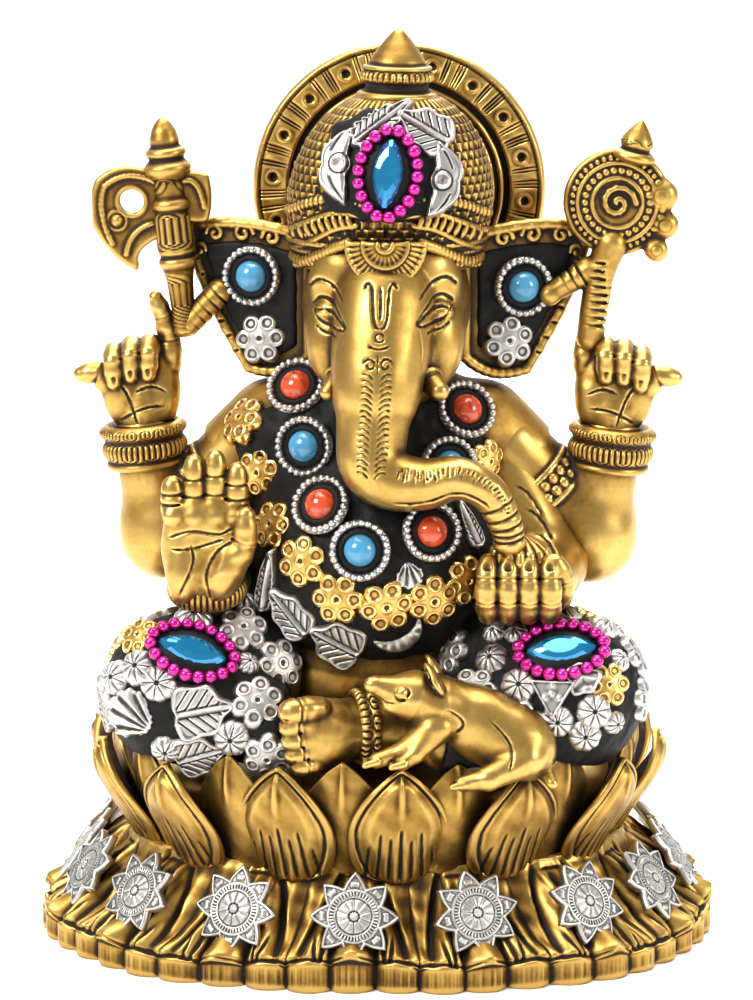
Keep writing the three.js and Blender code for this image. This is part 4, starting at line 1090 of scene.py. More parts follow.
def rear_hands():
    for side, name in SIDES:
        def at(out, forward, up):
            return np.array([side * (51.5 + out), 5 - forward, 109.5 + up])
        clay = Clay(np.minimum(at(-12, 10, -4), at(18, -9, 34)), np.maximum(at(-12, 10, -4), at(18, -9, 34)),
            0.27)
        clay.put(cone(at(0, 0, -2), at(0, 0.2, 5), 6.3, 6.0), 0)
        clay.put(egg(at(0.3, 0.6, 10.5), ((1, 0, 0), (0, 1, 0), (0, 0, 1)), (8.5, 4.3, 9.3)), 2.2)
        clay.put(egg(at(5.2, 2.0, 8.6), ((1, 0, 0), (0, 1, 0), (0, 0, 1)), (3.6, 3.2, 6.0)), 1.4)
        clay.put(egg(at(-4.6, 1.8, 7.6), ((1, 0, 0), (0, 1, 0), (0, 0, 1)), (3.4, 3.0, 5.4)), 1.4)
        finger(clay, [at(-6.0, 0, 15), at(-5.9, -0.3, 20.5), at(-4.6, 0.2, 25.8), at(-2.9, 0.4, 30.0)],
            (2.5, 2.25, 2.0, 1.55))
        for out, up in ((-1.6, 19.8), (2.4, 19.4), (6.2, 18.0)):
            finger(clay, [at(out * 0.95, -0.4, up - 4), at(out, 1.2, up), at(out, 4.7, up - 1.6),
                at(out * 0.96, 4.5, up - 6.2)], (2.35, 2.25, 2.1, 1.75))
            nail(clay, at(out * 0.96, 4.5, up - 6.4), at(0, 1, 0) - at(0, 0, 0), 1.75)
        finger(clay, [at(5.6, 1.2, 9.5), at(9.8, 1.6, 13.4), at(13.6, 1.5, 13.0)], (3.0, 2.4, 1.75))
        for a, b in (((-5, 6.5), (4.5, 3.2)), ((-5.5, 9.6), (1.0, 9.6)), ((1.0, 3), (4.6, 11))):
            line = [at(a[0] + (b[0] - a[0]) * t, 5, a[1] + (b[1] - a[1]) * t + 1.2 * sin(t * 3))
                for t in np.linspace(0, 1, 7)]
            clay.engrave(line, 0.34, 20, 0.3)
        clay.uneven(0.035, 1.3, side)
        stand_in(name + "_rear_hand", clay.mesh(), BRASS)


def front_arms():
    for side, name in SIDES:
        lo = (min(side * 12, side * 52), -34, 66)
        clay = Clay(lo, (max(side * 12, side * 52), 16, 118), 0.42)
        clay.put(cone((side * 27, 4, 105), (side * 38, -2, 82), 7.6, 7.8), 0)
        clay.put(cone((side * 38, -2, 82), (side * 36, -18, 80), 8.0, 6.6), 3)
        if side > 0:
            clay.put(cone((36, -18, 80), (33.5, -22, 81), 6.4, 6.2), 1)
            for k, d in enumerate((0.0, 2.4)):
                clay.put(hoop((36, -15.5 - d, 80.2), (0.1, 1, 0.05), 6.5, 1.1 - 0.2 * k), 0.3)
        else:
            clay.put(cone((-36, -18, 80), (-36, -21, 84), 6.6, 6.2), 2)
        for a in range(4):
            base = np.array([side * (30 + a * 2.4), -12, 100 - a * 5])
            clay.engrave([base + np.array([side * k * 1.5, 0, -0.35 * k * k]) for k in range(6)], 0.4, 40,
                0.3)
        clay.uneven(0.035, 0.6, side)
        stand_in(name + "_front_forearm", clay.mesh(), BRASS)


def right_front_hand():
    c = np.array([-35.8, -23.2, 88.8])

    def at(x, forward, z):
        return c + np.array([x, -forward, z])
    clay = Clay(c + np.array([-13, -7.5, -13]), c + np.array([12.5, 9, 26]), 0.27)
    clay.put(egg(at(0, 0, 0), np.eye(3), (9.4, 4.6, 12.2)), 0)
    clay.put(slab(at(-0.2, 0.2, 5), np.eye(3), (8.5, 3.3, 7.2), 3.0), 2.0)
    clay.put(egg(at(4.2, 2.2, -3.6), (unit((0.9, 0, -0.3)), (0, 1, 0), unit((0.3, 0, 0.9))), (4.0, 3.6, 7.0)),
        1.3)
    clay.put(egg(at(-4.8, 1.9, -4.6), np.eye(3), (3.6, 3.4, 6.6)), 1.3)
    clay.cut(egg(at(-0.2, 5.6, 1.4), np.eye(3), (3.4, 1.9, 5.2)), 1.6)
    for i, reach in enumerate((17.0, 21.6, 22.8, 20.0)):
        x = (i - 1.5) * 4.55
        foot, tip = at(x * 0.98, 0.3, 8.6), at(x * 1.02, 0.9, reach - 2.2)
        joints = [foot + (tip - foot) * t for t in (0, 0.36, 0.70, 1)]
        finger(clay, joints, (2.5, 2.35, 2.2, 1.9), 0.34)
        clay.put(ball(at(x, 2.6, 8.2), (2.1, 1.5, 1.9)), 0.8)
    finger(clay, [at(5.8, 2.0, -3.0), at(8.6, 2.6, 3.0), at(8.9, 2.8, 8.6)], (3.1, 2.6, 2.0))
    for line in (((-8, 3.6), (-3, 5.2), (3.0, 4.6), (6.2, 6.0)), ((-7, 1.2), (-1.5, 1.6), (4.2, 3.6)),
            ((1.2, -10), (0.4, -4), (2.8, 1.0), (6.4, 3.4)), ((-5.5, -9), (-2.4, -2.0), (-2.8, 2.4))):
        pts = spline([[*at(x, 8, z)] for x, z in line], 14)
        clay.engrave(pts, 0.36, 20, 0.34)
    clay.uneven(0.035, 1.1, 4)
    stand_in("right_front_hand", clay.mesh(), BRASS)
    cuff = Build()
    lo, hi = box("right_front_cuff")
    mid = (lo + hi) / 2
    edge = [(6.2, -2.6), (7.6, -2.8), (8.5, -2.0, 0.5, 40), (8.9, -0.6, 0.7, 40), (8.9, 0.6, 0.7, 40),
        (8.4, 1.8, 0.4, 40), (7.8, 2.1), (8.3, 2.7, 0.3, 56), (7.9, 3.3), (6.2, 3.2)]
    lathe(cuff, profile_line(edge, 0.3), frame_at(mid, (0, -0.25, 1), (1, 0, 0)), 240)
    stand_in("right_front_cuff", cuff, CAST)


def left_front_hand():
    c = np.array([31.5, -25.5, 82.0])

    def at(x, forward, z):
        return c + np.array([x, -forward, z])
    clay = Clay(c + np.array([-12, -8.5, -9.5]), c + np.array([12, 9, 10]), 0.27)
    clay.put(egg(at(0.5, -0.4, 0), np.eye(3), (9.4, 5.8, 7.4)), 0)
    for i in range(4):
        x = (i - 1.5) * 4.5 - 0.3
        finger(clay, [at(x * 0.96, 2.6, -5.4), at(x, 5.0, -1.6), at(x, 4.8, 3.0), at(x * 0.98, 3.2, 6.2)],
            (2.2, 2.3, 2.15, 1.85), 0.36)
        nail(clay, at(x * 0.98, 3.6, 6.0), (0, -1, 0.25), 1.85)
    finger(clay, [at(8.0, 0.5, -2.0), at(9.0, 2.2, 2.6), at(7.6, 3.4, 6.2)], (2.8, 2.4, 1.9))
    clay.uneven(0.035, 1.1, 1)
    stand_in("left_front_hand", clay.mesh(), BRASS)
    sweet = Build()
    lo, hi = box("sweet")
    mid, r = (lo + hi) / 2, (hi[0] - lo[0]) / 2
    edge = [(0.3, -4.2), (r * 0.8, -3.4, 0.3, 16), (r, -0.8, 0.7, 16), (r * 0.92, 1.4, 0.9, 16),
        (r * 0.6, 3.0, 0.6, 16), (r * 0.28, 4.0, 0.2, 16), (0.5, 4.8)]
    lathe(sweet, profile_line(edge, 0.25), frame_at(mid, (0, 0, 1), (1, 0, 0)), 160)
    stand_in("sweet", sweet, BRASS)


def left_foot():
    clay = Clay((-22, -44.5, 42), (8, -18, 63), 0.27)
    clay.put(cone((6, -26, 52), (-8, -32, 51.8), 6.6, 6.6), 0)
    clay.put(egg((-10.5, -35, 51.6), (unit((-0.9, -0.45, 0)), unit((0.45, -0.9, 0)), (0, 0, 1)),
        (8.5, 5.2, 8.0)), 2)
    for i, z in enumerate((58.2, 54.9, 51.8, 48.8, 46.1)):
        r = (2.5, 1.95, 1.9, 1.8, 1.6)[i]
        out = (-17.4, -17.8, -17.4, -16.8, -15.8)[i]
        finger(clay, [(-11.0, -37.4, z), (out + 2.2, -39.6, z), (out + 0.4, -40.2, z - 0.2)],
            (r, r * 1.03, r * 0.98), 0.3)
        nail(clay, (out + 0.8, -40.4, z), (-0.35, -1, 0.15), r)
    place = frame_at((-1.6, -28.6, 52), unit((0.94, 0.30, 0)), (0, 0, 1))
    clay.uneven(0.035, 1.1, 3)
    build = clay.mesh()
    edge = [(5, -2.6), (7.4, -2.7, 0.3, 30), (8.4, -1.7, 0.8, 30), (8.0, -0.7, 0.4, 30), (7.6, -0.3),
        (8.4, 0.5, 0.8, 30), (8.1, 1.5, 0.5, 30), (7.2, 2.1), (5, 2.1)]
    lathe(build, profile_line(edge, 0.3), place, 210)
    stand_in("left_foot", build, BRASS)


def mouse():
    clay = Clay((-4, -49.5, 38.5), (42, -27, 70), 0.27)
    clay.put(egg((24.5, -37.5, 54.5), (unit((0.88, 0.06, -0.45)), (0, 1, 0), unit((0.45, 0, 0.88))),
        (13.5, 7.2, 8.0)), 0)
    clay.put(egg((31.5, -38, 50.8), (unit((0.7, 0, -0.7)), (0, 1, 0), unit((0.7, 0, 0.7))), (8.4, 7.4, 7.6)),
        3)
    clay.put(cone((14, -38.5, 59.5), (9.6, -39.5, 61.4), 6.4, 5.4), 2.5)
    clay.put(cone((9, -40, 61.8), (1.2, -42, 64.6), 4.8, 2.0), 2.0)
    clay.put(ball((0.2, -42.3, 64.8), 1.5), 0.6)
    clay.put(ball((6.0, -41.6, 60.4), (3.6, 2.6, 2.4)), 1.2)
    for side in (-1, 1):
        clay.put(egg((13.6, -38.4 + side * 4.4, 66.2), (unit((-0.5, side * 0.3, 0.8)), unit((0.3, 1, 0)),
            unit((0.8, 0, 0.5))), (3.3, 2.5, 1.1)), 0.6)
        clay.cut(egg((12.9, -38.6 + side * 4.6, 66.6), (unit((-0.5, side * 0.3, 0.8)), unit((0.3, 1, 0)),
            unit((0.8, 0, 0.5))), (2.2, 1.5, 0.8)), 0.3)
        clay.put(ball((6.8, -40.4 + side * 3.5, 63.4), 1.25), 0.3)
        clay.cut(hoop((6.8, -40.4 + side * 4.2, 63.5), (0, 1, 0), 1.55, 0.32), 0.15)
    for reach, y in ((-0.2, -44.6), (5.4, -46.0)):
        clay.put(cone((13 + reach * 0.3, -42.5, 55.5), (7 + reach * 0.5, y + 1, 50.6), 3.2, 2.1), 1.4)
        clay.put(cone((7 + reach * 0.5, y + 1, 50.6), (1.6 + reach, y, 48.8), 2.0, 1.6), 0.6)
        for toe in (-1.1, 0, 1.1):
            clay.put(cone((2 + reach, y + toe, 48.9), (-0.6 + reach, y + toe * 1.3, 48.2), 0.95, 0.7), 0.2)
    clay.put(cone((33, -43, 49), (25, -46, 45.6), 3.8, 2.6), 1.6)
    clay.put(cone((25, -46, 45.6), (19.6, -46.6, 44.6), 2.4, 1.7), 0.8)
    for toe in (-1.1, 0, 1.1):
        clay.put(cone((20.4, -46.4 + toe, 44.7), (17.6, -46.6 + toe * 1.2, 44.2), 1.0, 0.7), 0.2)
    clay.put(cone((36, -38, 47.5), (38.5, -42, 43.5), 2.0, 1.3), 1.0)
    for a, b in (((25, 58.0), (29, 47.5)), ((16.4, 60), (17.6, 54.6))):
        line = [(a[0] + (b[0] - a[0]) * t + 2.6 * sin(t * 3), -60, a[1] + (b[1] - a[1]) * t)
            for t in np.linspace(0, 1, 9)]
        clay.engrave(line, 0.36, 10, 0.3)
    clay.engrave([(0.8, -60, 62.6), (3.6, -60, 61.2), (6.4, -60, 61.4)], 0.3, 10, 0.26)
    clay.uneven(0.035, 1.0, 6)
    stand_in("mouse", clay.mesh(), BRASS)


# ---- Head and trunk ----
TRUNK = [(2.4, -10.5, 147.5, 7.6), (2.2, -16.0, 140.0, 9.2), (1.0, -21.0, 127, 8.6), (0.0, -24, 116, 7.4),
    (0.0, -26, 109.2, 6.9), (4.0, -27.2, 105.6, 6.2), (11.0, -28.8, 105.0, 5.2), (18.2, -30, 106.6, 4.3),
    (24.6, -30, 103.6, 3.8), (28.2, -29, 97, 3.4), (29.2, -28, 92.6, 3.0)]


def mirror(points, middle=2.0):
    return [(2 * middle - p[0], *p[1:]) for p in points]


def head():
    clay = Clay((-18.5, -36.5, 87), (35.5, 17, 156), 0.3)
    clay.put(ball((2.2, -2, 140), (18.2, 16.6, 21)), 0)
    clay.put(ball((2.2, -8, 126), (13, 10, 9)), 4)
    for side in (-1, 1):
        clay.put(ball((2.2 + side * 10.3, -11.5, 132.5), (6.6, 6.4, 8.8)), 4.5)
        clay.put(cone((2.2 + side * 13.0, -10.8, 145.6), (2.2 + side * 5.4, -15.6, 145.0), 2.6, 2.4), 4)
        clay.put(egg((2.2 + side * 6.8, -13.6, 127.8),
            (unit((side * 0.5, -0.8, -0.35)), (0, 0.4, 1), (1, 0, 0)), (7.2, 4.6, 4.2)), 2.0)
        clay.put(ball((2.2 + side * 7.4, -10.6, 149.6), (7.0, 6.0, 5.0)), 4)
        clay.cut(ball((2.2 + side * 10.4, -19.3, 141.0), (4.8, 2.3, 3.2)), 3.0)
        clay.put(egg((2.2 + side * 10.0, -14.0, 139.6), (unit((1, 0.3 * side, -0.18 * side)), (0, 1, 0),
            (0, 0, 1)), (4.2, 3.1, 2.5)), 0.9)
    line = spline(TRUNK, 90)
    for p, q in zip(line, line[1:]):
        clay.put(cone(p[:3], q[:3], p[3], q[3]), 2.4 if p[2] > 122 else 0.6)
    clay.put(ball((29.2, -27.6, 91.8), (3.5, 3.3, 2.4)), 1.0)
    clay.cut(ball((29.5, -28.2, 88.8), (1.7, 1.7, 2.2)), 0.5)
    # creases round the hanging end of the trunk, and short strokes over its bend
    for i in range(len(line) - 2):
        p, q = line[i], line[i + 1]
        if i > 74 and i % 3 == 0:
            clay.cut(hoop(p[:3], q[:3] - p[:3], p[3] + 0.24, 0.34), 0.35)
    for i in range(46, 78):
        p, along = line[i], unit(line[i + 1][:3] - line[i][:3])
        over = unit(np.cross(np.array([0, 1.0, 0]), along)) * -1
        over = over if over[2] > 0 else -over
        stroke = [p[:3] + over * p[3] * f + along * (0.9 * f * f)
            for f in np.linspace(0.18 + 0.1 * (i % 3), 0.72, 6)]
        clay.engrave(stroke, 0.27, 40, 0.20)
    under = [line[i][:3] - np.array([0, 0, 1]) * line[i][3] * 0.62 for i in range(46, 74, 2)]
    clay.engrave(under, 0.36, 40, 0.3)
    # strokes in pairs down the front
    for k in range(17):
        z = 127.4 - k * 1.28
        cx = 1.2 - k * 0.075
        for side in (-1, 1):
            pts = [(cx + side * (0.6 + 2.7 * t), 0, z + 1.1 * sin(t * 2.6) + 0.5 * t)
                for t in np.linspace(0, 1, 8)]
            clay.engrave(pts, 0.27, 60, 0.22)
    # forehead sign: two outward hooks round a straight groove, a ring and a crescent below
    for side in (-1, 1):
        hook = [(1.7 + side * x, 0, z) for x, z in ((3.6, 145.8), (2.9, 147.0), (2.0, 146.2), (1.7, 143.4),
            (1.5, 140.2), (0.9, 138.4), (0.1, 138.0))]
        clay.engrave(spline(hook, 20), 0.40, 60, 0.40)
    clay.engrave([(1.7, 0, z) for z in np.linspace(146.4, 139.6, 9)], 0.42, 60, 0.4)
    ring = [(1.6 + 0.9 * cos(t), 0, 136.2 + 0.9 * sin(t)) for t in np.linspace(0, TAU, 13)]
    clay.engrave(ring, 0.28, 60, 0.32)
    moon = [(1.5 + 2.2 * sin(t), 0, 134.8 - 0.9 * cos(t)) for t in np.linspace(-1.3, 1.3, 10)]
    clay.engrave(moon, 0.32, 60, 0.34)
    # a pair of plain scrolls under it
    for side in (-1, 1):
        curl = [(1.3 + side * (1.7 + (1.5 - 0.10 * k) * cos(k * 0.62)), 0,
            130.6 + (1.5 - 0.10 * k) * sin(k * 0.62)) for k in range(12)]
        clay.engrave(curl, 0.30, 60, 0.34)
    clay.engrave([(1.3, 0, z) for z in (132.6, 131.4, 130.2, 129.0)], 0.32, 60, 0.34)
    # brows, lids, half-closed eyes and the wrinkles round them
    left = {"brow": ((-14.2, 144.6), (-12.0, 146.4), (-9.0, 145.6), (-6.4, 142.6)),
        "upper": ((-13.4, 141.0), (-11.4, 142.6), (-9.2, 142.2), (-7.2, 139.8), (-5.6, 137.6)),
        "slit": ((-12.8, 140.0), (-10.6, 140.5), (-8.6, 139.7), (-7.0, 138.5), (-5.8, 137.4)),
        "lower": ((-13.2, 140.4), (-11.8, 138.2), (-9.6, 137.2), (-7.4, 136.9), (-5.8, 137.2)),
        "bag": ((-12.6, 136.9), (-10.4, 135.6), (-7.8, 135.3)),}
    widths = {"slit": 0.50, "upper": 0.40, "lower": 0.34, "brow": 0.40}
    for key, pts in left.items():
        for points in ([(x, 0, z) for x, z in pts], mirror([(x, 0, z + 0.8) for x, z in pts], 1.8)):
            clay.engrave(spline(points, 16), widths.get(key, 0.34), 60, 0.40 if key in widths else 0.30)
    clay.uneven(0.03, 0.7, 5)
    publish("head", clay.mesh(), BRASS, ["head", "trunk"])
    for name, a, b, ra, rb in (("right_tusk", (-6.4, -17.0, 126.8), (-9.6, -22.4, 123.4), 2.9, 1.7),
            ("left_tusk", (10.8, -17.0, 126.4), (14.0, -21.2, 123.6), 2.9, 2.2)):
        tusk = Clay(np.minimum(a, b) - 5, np.maximum(a, b) + 5, 0.22)
        tusk.put(cone(a, b, ra, rb), 0)
        axis = np.array(b) - np.array(a)
        tusk.put(hoop(np.array(a) + axis * 0.30, axis, ra - 0.2, 0.62), 0.3)
        tusk.cut(hoop(np.array(a) + axis * 0.52, axis, ra * 0.86 + 0.2, 0.28), 0.2)
        stand_in(name, tusk.mesh(), BRASS)


# ---- Ears ----
def ear_place(side):
    turn = radians(16)
    across = np.array([side * cos(turn), sin(turn), 0])
    normal = np.array([side * sin(turn), -cos(turn), 0])
    return np.array([across, [0, 0, 1.0], normal]), np.array([2.2 + side * 16.5, 3, 140.0])


def curve(p, c, q, n=9):
    t = np.linspace(0, 1, n)[:, None]
    return (1 - t) ** 2 * np.array(p, float) + 2 * t * (1 - t) * np.array(c, float) + t * t * np.array(q,
        float)


def ear_outline(share=1.0):
    a, t = 29 * share, 33 * share
    return np.concatenate([curve((0, t * 0.42), (a * 0.5, t * 0.56), (a, t * 0.47))[:-1],
        curve((a, t * 0.47), (a * 0.92, t * 0.05), (a * 0.5, -t * 0.5))[:-1],
        curve((a * 0.5, -t * 0.5), (a * 0.2, -t * 0.58), (0, -t * 0.4))])


def ears():
    found = {}
    for side, name in SIDES:
        axes, origin = ear_place(side)
        lo, hi = box(name + "_ear")
        clay = Clay(lo - 2, hi + 2, 0.3)
        outline = ear_outline()
        clay.put(flat(outline, (axes, origin), 1.7, 0.7), 0)
        ring = np.concatenate([outline, outline[:1]]) * np.array([0.955, 0.955]) + np.array([0.2, -0.2])
        rim = [origin + axes[0] * u + axes[1] * v + axes[2] * 1.5 for u, v in ring]
        chain(clay, rim, 1.25, 1.25, 0.5)
        back = [origin + axes[0] * u * 0.9 + axes[1] * v * 0.9 - axes[2] * 1.4 for u, v in ring]
        chain(clay, back, 0.8, 0.8, 1.2)
        for u0, v0, r, way in ((8.5, 13.0, 2.2, 1), (15.0, 13.7, 2.4, -1), (21.6, 13.4, 2.1, 1),
                (25.2, 9.6, 1.5, -1)):
            pts = []
            for k in range(15):
                t, rr = k * 0.52, r * (1 - k / 17)
                pts.append(origin + axes[0] * (u0 + rr * cos(t) * way) + axes[1] * (v0 + rr * sin(t))
                    + axes[2] * 2.0)
            chain(clay, pts, 0.62, 0.55, 0.15)
        for k in range(7):
            t = 0.25 + k * 0.11
            base = (origin + axes[0] * (29 * (0.98 - 0.38 * t)) + axes[1] * (33 * (0.47 - 0.95 * t))
                + axes[2] * 2.6)
            clay.cut(cone(base, base - axes[0] * 2.2 + axes[1] * 0.8, 0.35, 0.25), 0.2)
        clay.uneven(0.03, 0.8, side)
        stand_in(name + "_ear", clay.mesh(), CAST)
        inner = ear_outline(0.74) + np.array([2.8, -0.6])
        cover = Clay(lo - 3, hi + 3, 0.3)
        cover.put(flat(inner, (axes, origin + axes[2] * 1.0), 1.5, 1.1), 0)
        cover.uneven(0.10, 1.1, side + 3)
        stand_in(name + "_ear_mastic", cover.mesh(), MASTIC)
        found[side] = cover
    return found


# ---- Crown, finial and halo ----
def crown_reach(z):
    """The crown's half width at a height, as a share of its widest."""
    return np.interp(z, (147.0, 149.0, 151.5, 153.5, 158, 164, 170, 175, 179, 182, 184.6, 187),
        (0.86, 0.90, 0.92, 0.95, 0.985, 0.99, 0.93, 0.83, 0.70, 0.55, 0.36, 0.30))


def crown():
    cx, cy, rx, ry = 2.2, 2.0, 22.4, 20.6

    def lean(z):
        return cx + 0.06 * (z - 150)

    def dome(x, y, z):
        r = np.sqrt(((x - lean(z)) / rx) ** 2 + ((y - cy) / ry) ** 2)
        d = (r - crown_reach(z)) * 21.0
        return np.maximum(np.maximum(d, 147.6 - z), z - 184.6)
    clay = Clay((-22.6, -26.5, 144.5), (27, 25, 186), 0.3)
    clay.put((dome, clay.lo, clay.lo + clay.step * clay.n), 0)

    def scales(x, y, z):
        h = np.arctan2((y - cy) / ry, (x - lean(z)) / rx)
        rows = (z - 154) / 1.75
        i = np.floor(rows)
        cell = (h / TAU * 54 + 0.5 * (i % 2)) % 1 - 0.5
        f = rows - i
        edge = np.abs(cell) * 1.9
        lobe = np.clip(1.15 - np.sqrt(edge ** 2 + (1 - f) ** 2 * 1.15), 0, 1)
        rib = 0.26 * bump(cell, 0.09)
        on = ease((z - 154.2) / 0.8) * ease((184.2 - z) / 1.0)
        on = on * (0.75 + 0.25 * np.sin(h * 17 + z * 1.3) * np.sin(h * 11 - z * 0.8))
        band = bump(np.abs(((h + pi / 2) / TAU * 8) % 1 - 0.5) - 0.5, 0.035)
        return on * (0.62 * lobe ** 0.7 + rib - 0.30) - 0.6 * band * on
    clay.swell(scales)
    for z, r in ((153.6, 0.62), (151.6, 0.5)):
        n = 90
        pts = [(cx + rx * crown_reach(z) * 1.005 * cos(t), cy + ry * crown_reach(z) * 1.005 * sin(t), z)
            for t in np.linspace(0, TAU, n + 1)]
        chain(clay, pts, r, r, 0.2)
    for k in range(84):
        t = k / 84 * TAU
        s = crown_reach(149.4)
        clay.put(ball((cx + rx * s * 1.01 * cos(t), cy + ry * s * 1.01 * sin(t), 149.5), (1.0, 1.0, 1.15)),
            0.15)

    def front(x, z, lift=0.0):
        s = crown_reach(z)
        across = np.clip((x - lean(z)) / (rx * s), -0.995, 0.995)
        return np.array([x, cy - (ry * s + lift) * sqrt(1 - across ** 2), z])
    # bead swags and leaf bands falling from the medallion to the ears
    for side in (-1, 1):
        for size, count, ends in ((1.15, 17, ((7.8, 154.6), (11.5, 153.0), (15.6, 150.6), (19.6, 148.4))),
                (0.62, 40, ((6.0, 158.4), (10.5, 157.4), (15.6, 154.4), (20.6, 151.6))),
                (0.62, 40, ((4.0, 160.4), (10.5, 160.8), (16.2, 158.6), (21.4, 155.6))),
                (0.95, 20, ((3.0, 162.2), (9.5, 164.0), (16.4, 162.4), (21.6, 159.6)))):
            for p in spline([(2.4 + side * x, 0, z) for x, z in ends], count):
                clay.put(ball(front(p[0], p[2], size * 0.4 + 0.2), (size * 0.85, size, size * 1.15)), 0.1)
        for k in range(9):
            x = 2.4 + side * (7.4 + k * 1.55)
            h = front(x, 158.9 - (k * 0.155) ** 2 * 2.6, 0.4)
            clay.put(egg(h, (unit((0.45 * side, 0, 1)), (0, 1, 0), unit((1, 0, -0.45 * side))),
                (1.9, 0.9, 0.75)), 0.15)
    # the fan medallion on the brow: two nested bowls of ribs
    def medal(t, r):
        x, z = 2.6 + r * 8.0 * cos(t), 155.2 + r * 8.6 * sin(t)
        return np.array([x, -19.7 + 0.030 * (x - 2.6) ** 2 - 0.10 * (155 - z) - 1.2 * (1 - r), z])
    for low, high, count, lift, thick in ((0.66, 0.98, 21, 1.2, 0.66), (0.26, 0.54, 13, 2.0, 0.62)):
        for k in range(count):
            t = radians(184 + 172 * k / (count - 1))
            a, b = medal(t, low) - (0, lift, 0), medal(t, high) - (0, lift * 0.8, 0)
            clay.put(cone(a, b, thick * 0.8, thick), 0.15)
            clay.put(ball(b, thick * 1.25), 0.1)
    for r, lift in ((1.05, 1.2), (0.60, 2.0), (0.20, 2.4)):
        pts = [medal(radians(t), r) - (0, lift, 0) for t in range(180, 364, 6)]
        chain(clay, pts, 0.5, 0.5, 0.15)
    clay.put(egg((2.6, -22.2, 154.4), np.eye(3), (1.5, 1.2, 1.2)), 0.2)
    stand_in("crown", clay.mesh(), CAST)

    def region(x, y, z):
        u = np.abs(x - 3.3 - 0.05 * (z - 172)) / (13.8 - 0.16 * (z - 172))
        w = np.abs(z - 171.2) / 11.6
        ragged = 0.5 * np.sin(x * 0.9) + 0.5 * np.sin(z * 0.8)
        return np.maximum(((u ** 2.6 + w ** 2.6) ** (1 / 2.6) - 1) * 11 + ragged, y + 2)

    def grown(x, y, z):
        r = np.sqrt(((x - lean(z)) / rx) ** 2 + ((y - cy) / ry) ** 2)
        return (r - crown_reach(z)) * 21.0 - 1.45 - 0.10 * waves(x, y, z, 1.0, 2)
    cover = Clay((-16, -24, 154), (21, -1, 187), 0.3)
    cover.put((lambda x, y, z: np.maximum(grown(x, y, z), region(x, y, z)), cover.lo,
        cover.lo + cover.step * cover.n), 0)
    stand_in("crown_mastic", cover.mesh(), MASTIC)
    top = Build()
    edge = [(6.0, -1.4), (8.4, -1.3), (8.9, -0.5), (8.4, 0.2), (7.0, 0.6), (6.7, 1.6), (6.9, 2.3),
        (7.9, 2.8, 0.35, 34), (8.1, 3.6, 0.6, 34), (7.7, 4.5, 0.5, 34), (7.0, 4.9), (7.5, 5.3), (7.5, 5.8),
        (6.1, 6.1), (5.9, 7.0), (4.9, 8.7), (3.4, 10.7), (1.9, 12.4), (0.9, 13.5), (0.3, 13.7)]
    lathe(top, profile_line(edge, 0.3), frame_at((4.3, cy, 184.6), (0.03, 0, 1), (0, 1, 0)), 180)
    stand_in("crown_finial", top, CAST)
    return cover


def halo():
    centre, R = np.array([4.2, 23.9, 161.4]), 32.5
    cols, rows = 760, 84
    h = np.arange(cols) / cols * TAU
    r = np.linspace(0.02, 1, rows)[:, None] * R
    step = (h / TAU * 18) % 1
    notch = np.zeros_like(h)
    for place in (0.05, 0.12, 0.19, 0.40, 0.47):
        notch = notch - 0.80 * bump(step - place, 0.017)
    rim = ease((r - 24.4) / 0.5)
    y = (0.9 * rim - 0.9 * bump(r - 24.2, 0.35) - 0.35 * bump(r - 31.0, 0.24) + notch * bump(r - 28.2, 2.6)
        + 0.5 * bump(r - 31.6, 0.5))
    dot = np.sqrt(((step - 0.74) * TAU * 28.0 / 18) ** 2 + (r - 28.0) ** 2)
    y = y - 1.0 * bump(dot, 0.75) + 0.22 * bump(dot - 1.4, 0.4)
    for place, high in ((22.7, 0.75), (20.7, 0.60), (18.4, 0.5)):
        y = y + high * bump(r - place, 0.62) - 0.5 * bump(r - place - 1.1, 0.3)
    petals = (h / TAU * 36) % 1 - 0.5
    y = y + 0.4 * np.cos(petals * pi) ** 2 * bump(r - 15.6, 1.5)
    y = y + 0.10 * np.sin(r * 0.8 + 3 * np.sin(h * 3)) + 0.08 * np.sin(h * 23 + r)
    y = y - 0.9 * ease((r - 32.0) / 0.5)
    front = centre + np.stack([r * np.cos(h), -(1.35 + y), r * np.sin(h)], -1)
    rear_y = (1.5 + 0.35 * bump(r - 29.2, 0.9) + 0.25 * bump(r - 22, 0.8) - 0.7 * ease((r - 32.0) / 0.5)
        + 0 * h)
    rear = centre + np.stack([r * np.cos(h), rear_y, r * np.sin(h)], -1)
    pts = np.concatenate([front, rear[::-1]])
    ends = np.array([centre - (0, 1.35, 0), centre + (0, 1.5, 0)])
    build = Build()
    build.add(np.concatenate([pts.reshape(-1, 3), ends]), grid_faces(2 * rows, cols, True)[:, ::-1])
    last = 2 * rows * cols
    for face in (fan(last, np.arange(cols)), fan(last + 1, last - cols + np.arange(cols), True)):
        build.cover(face)
    stand_in("halo", build, BRASS)


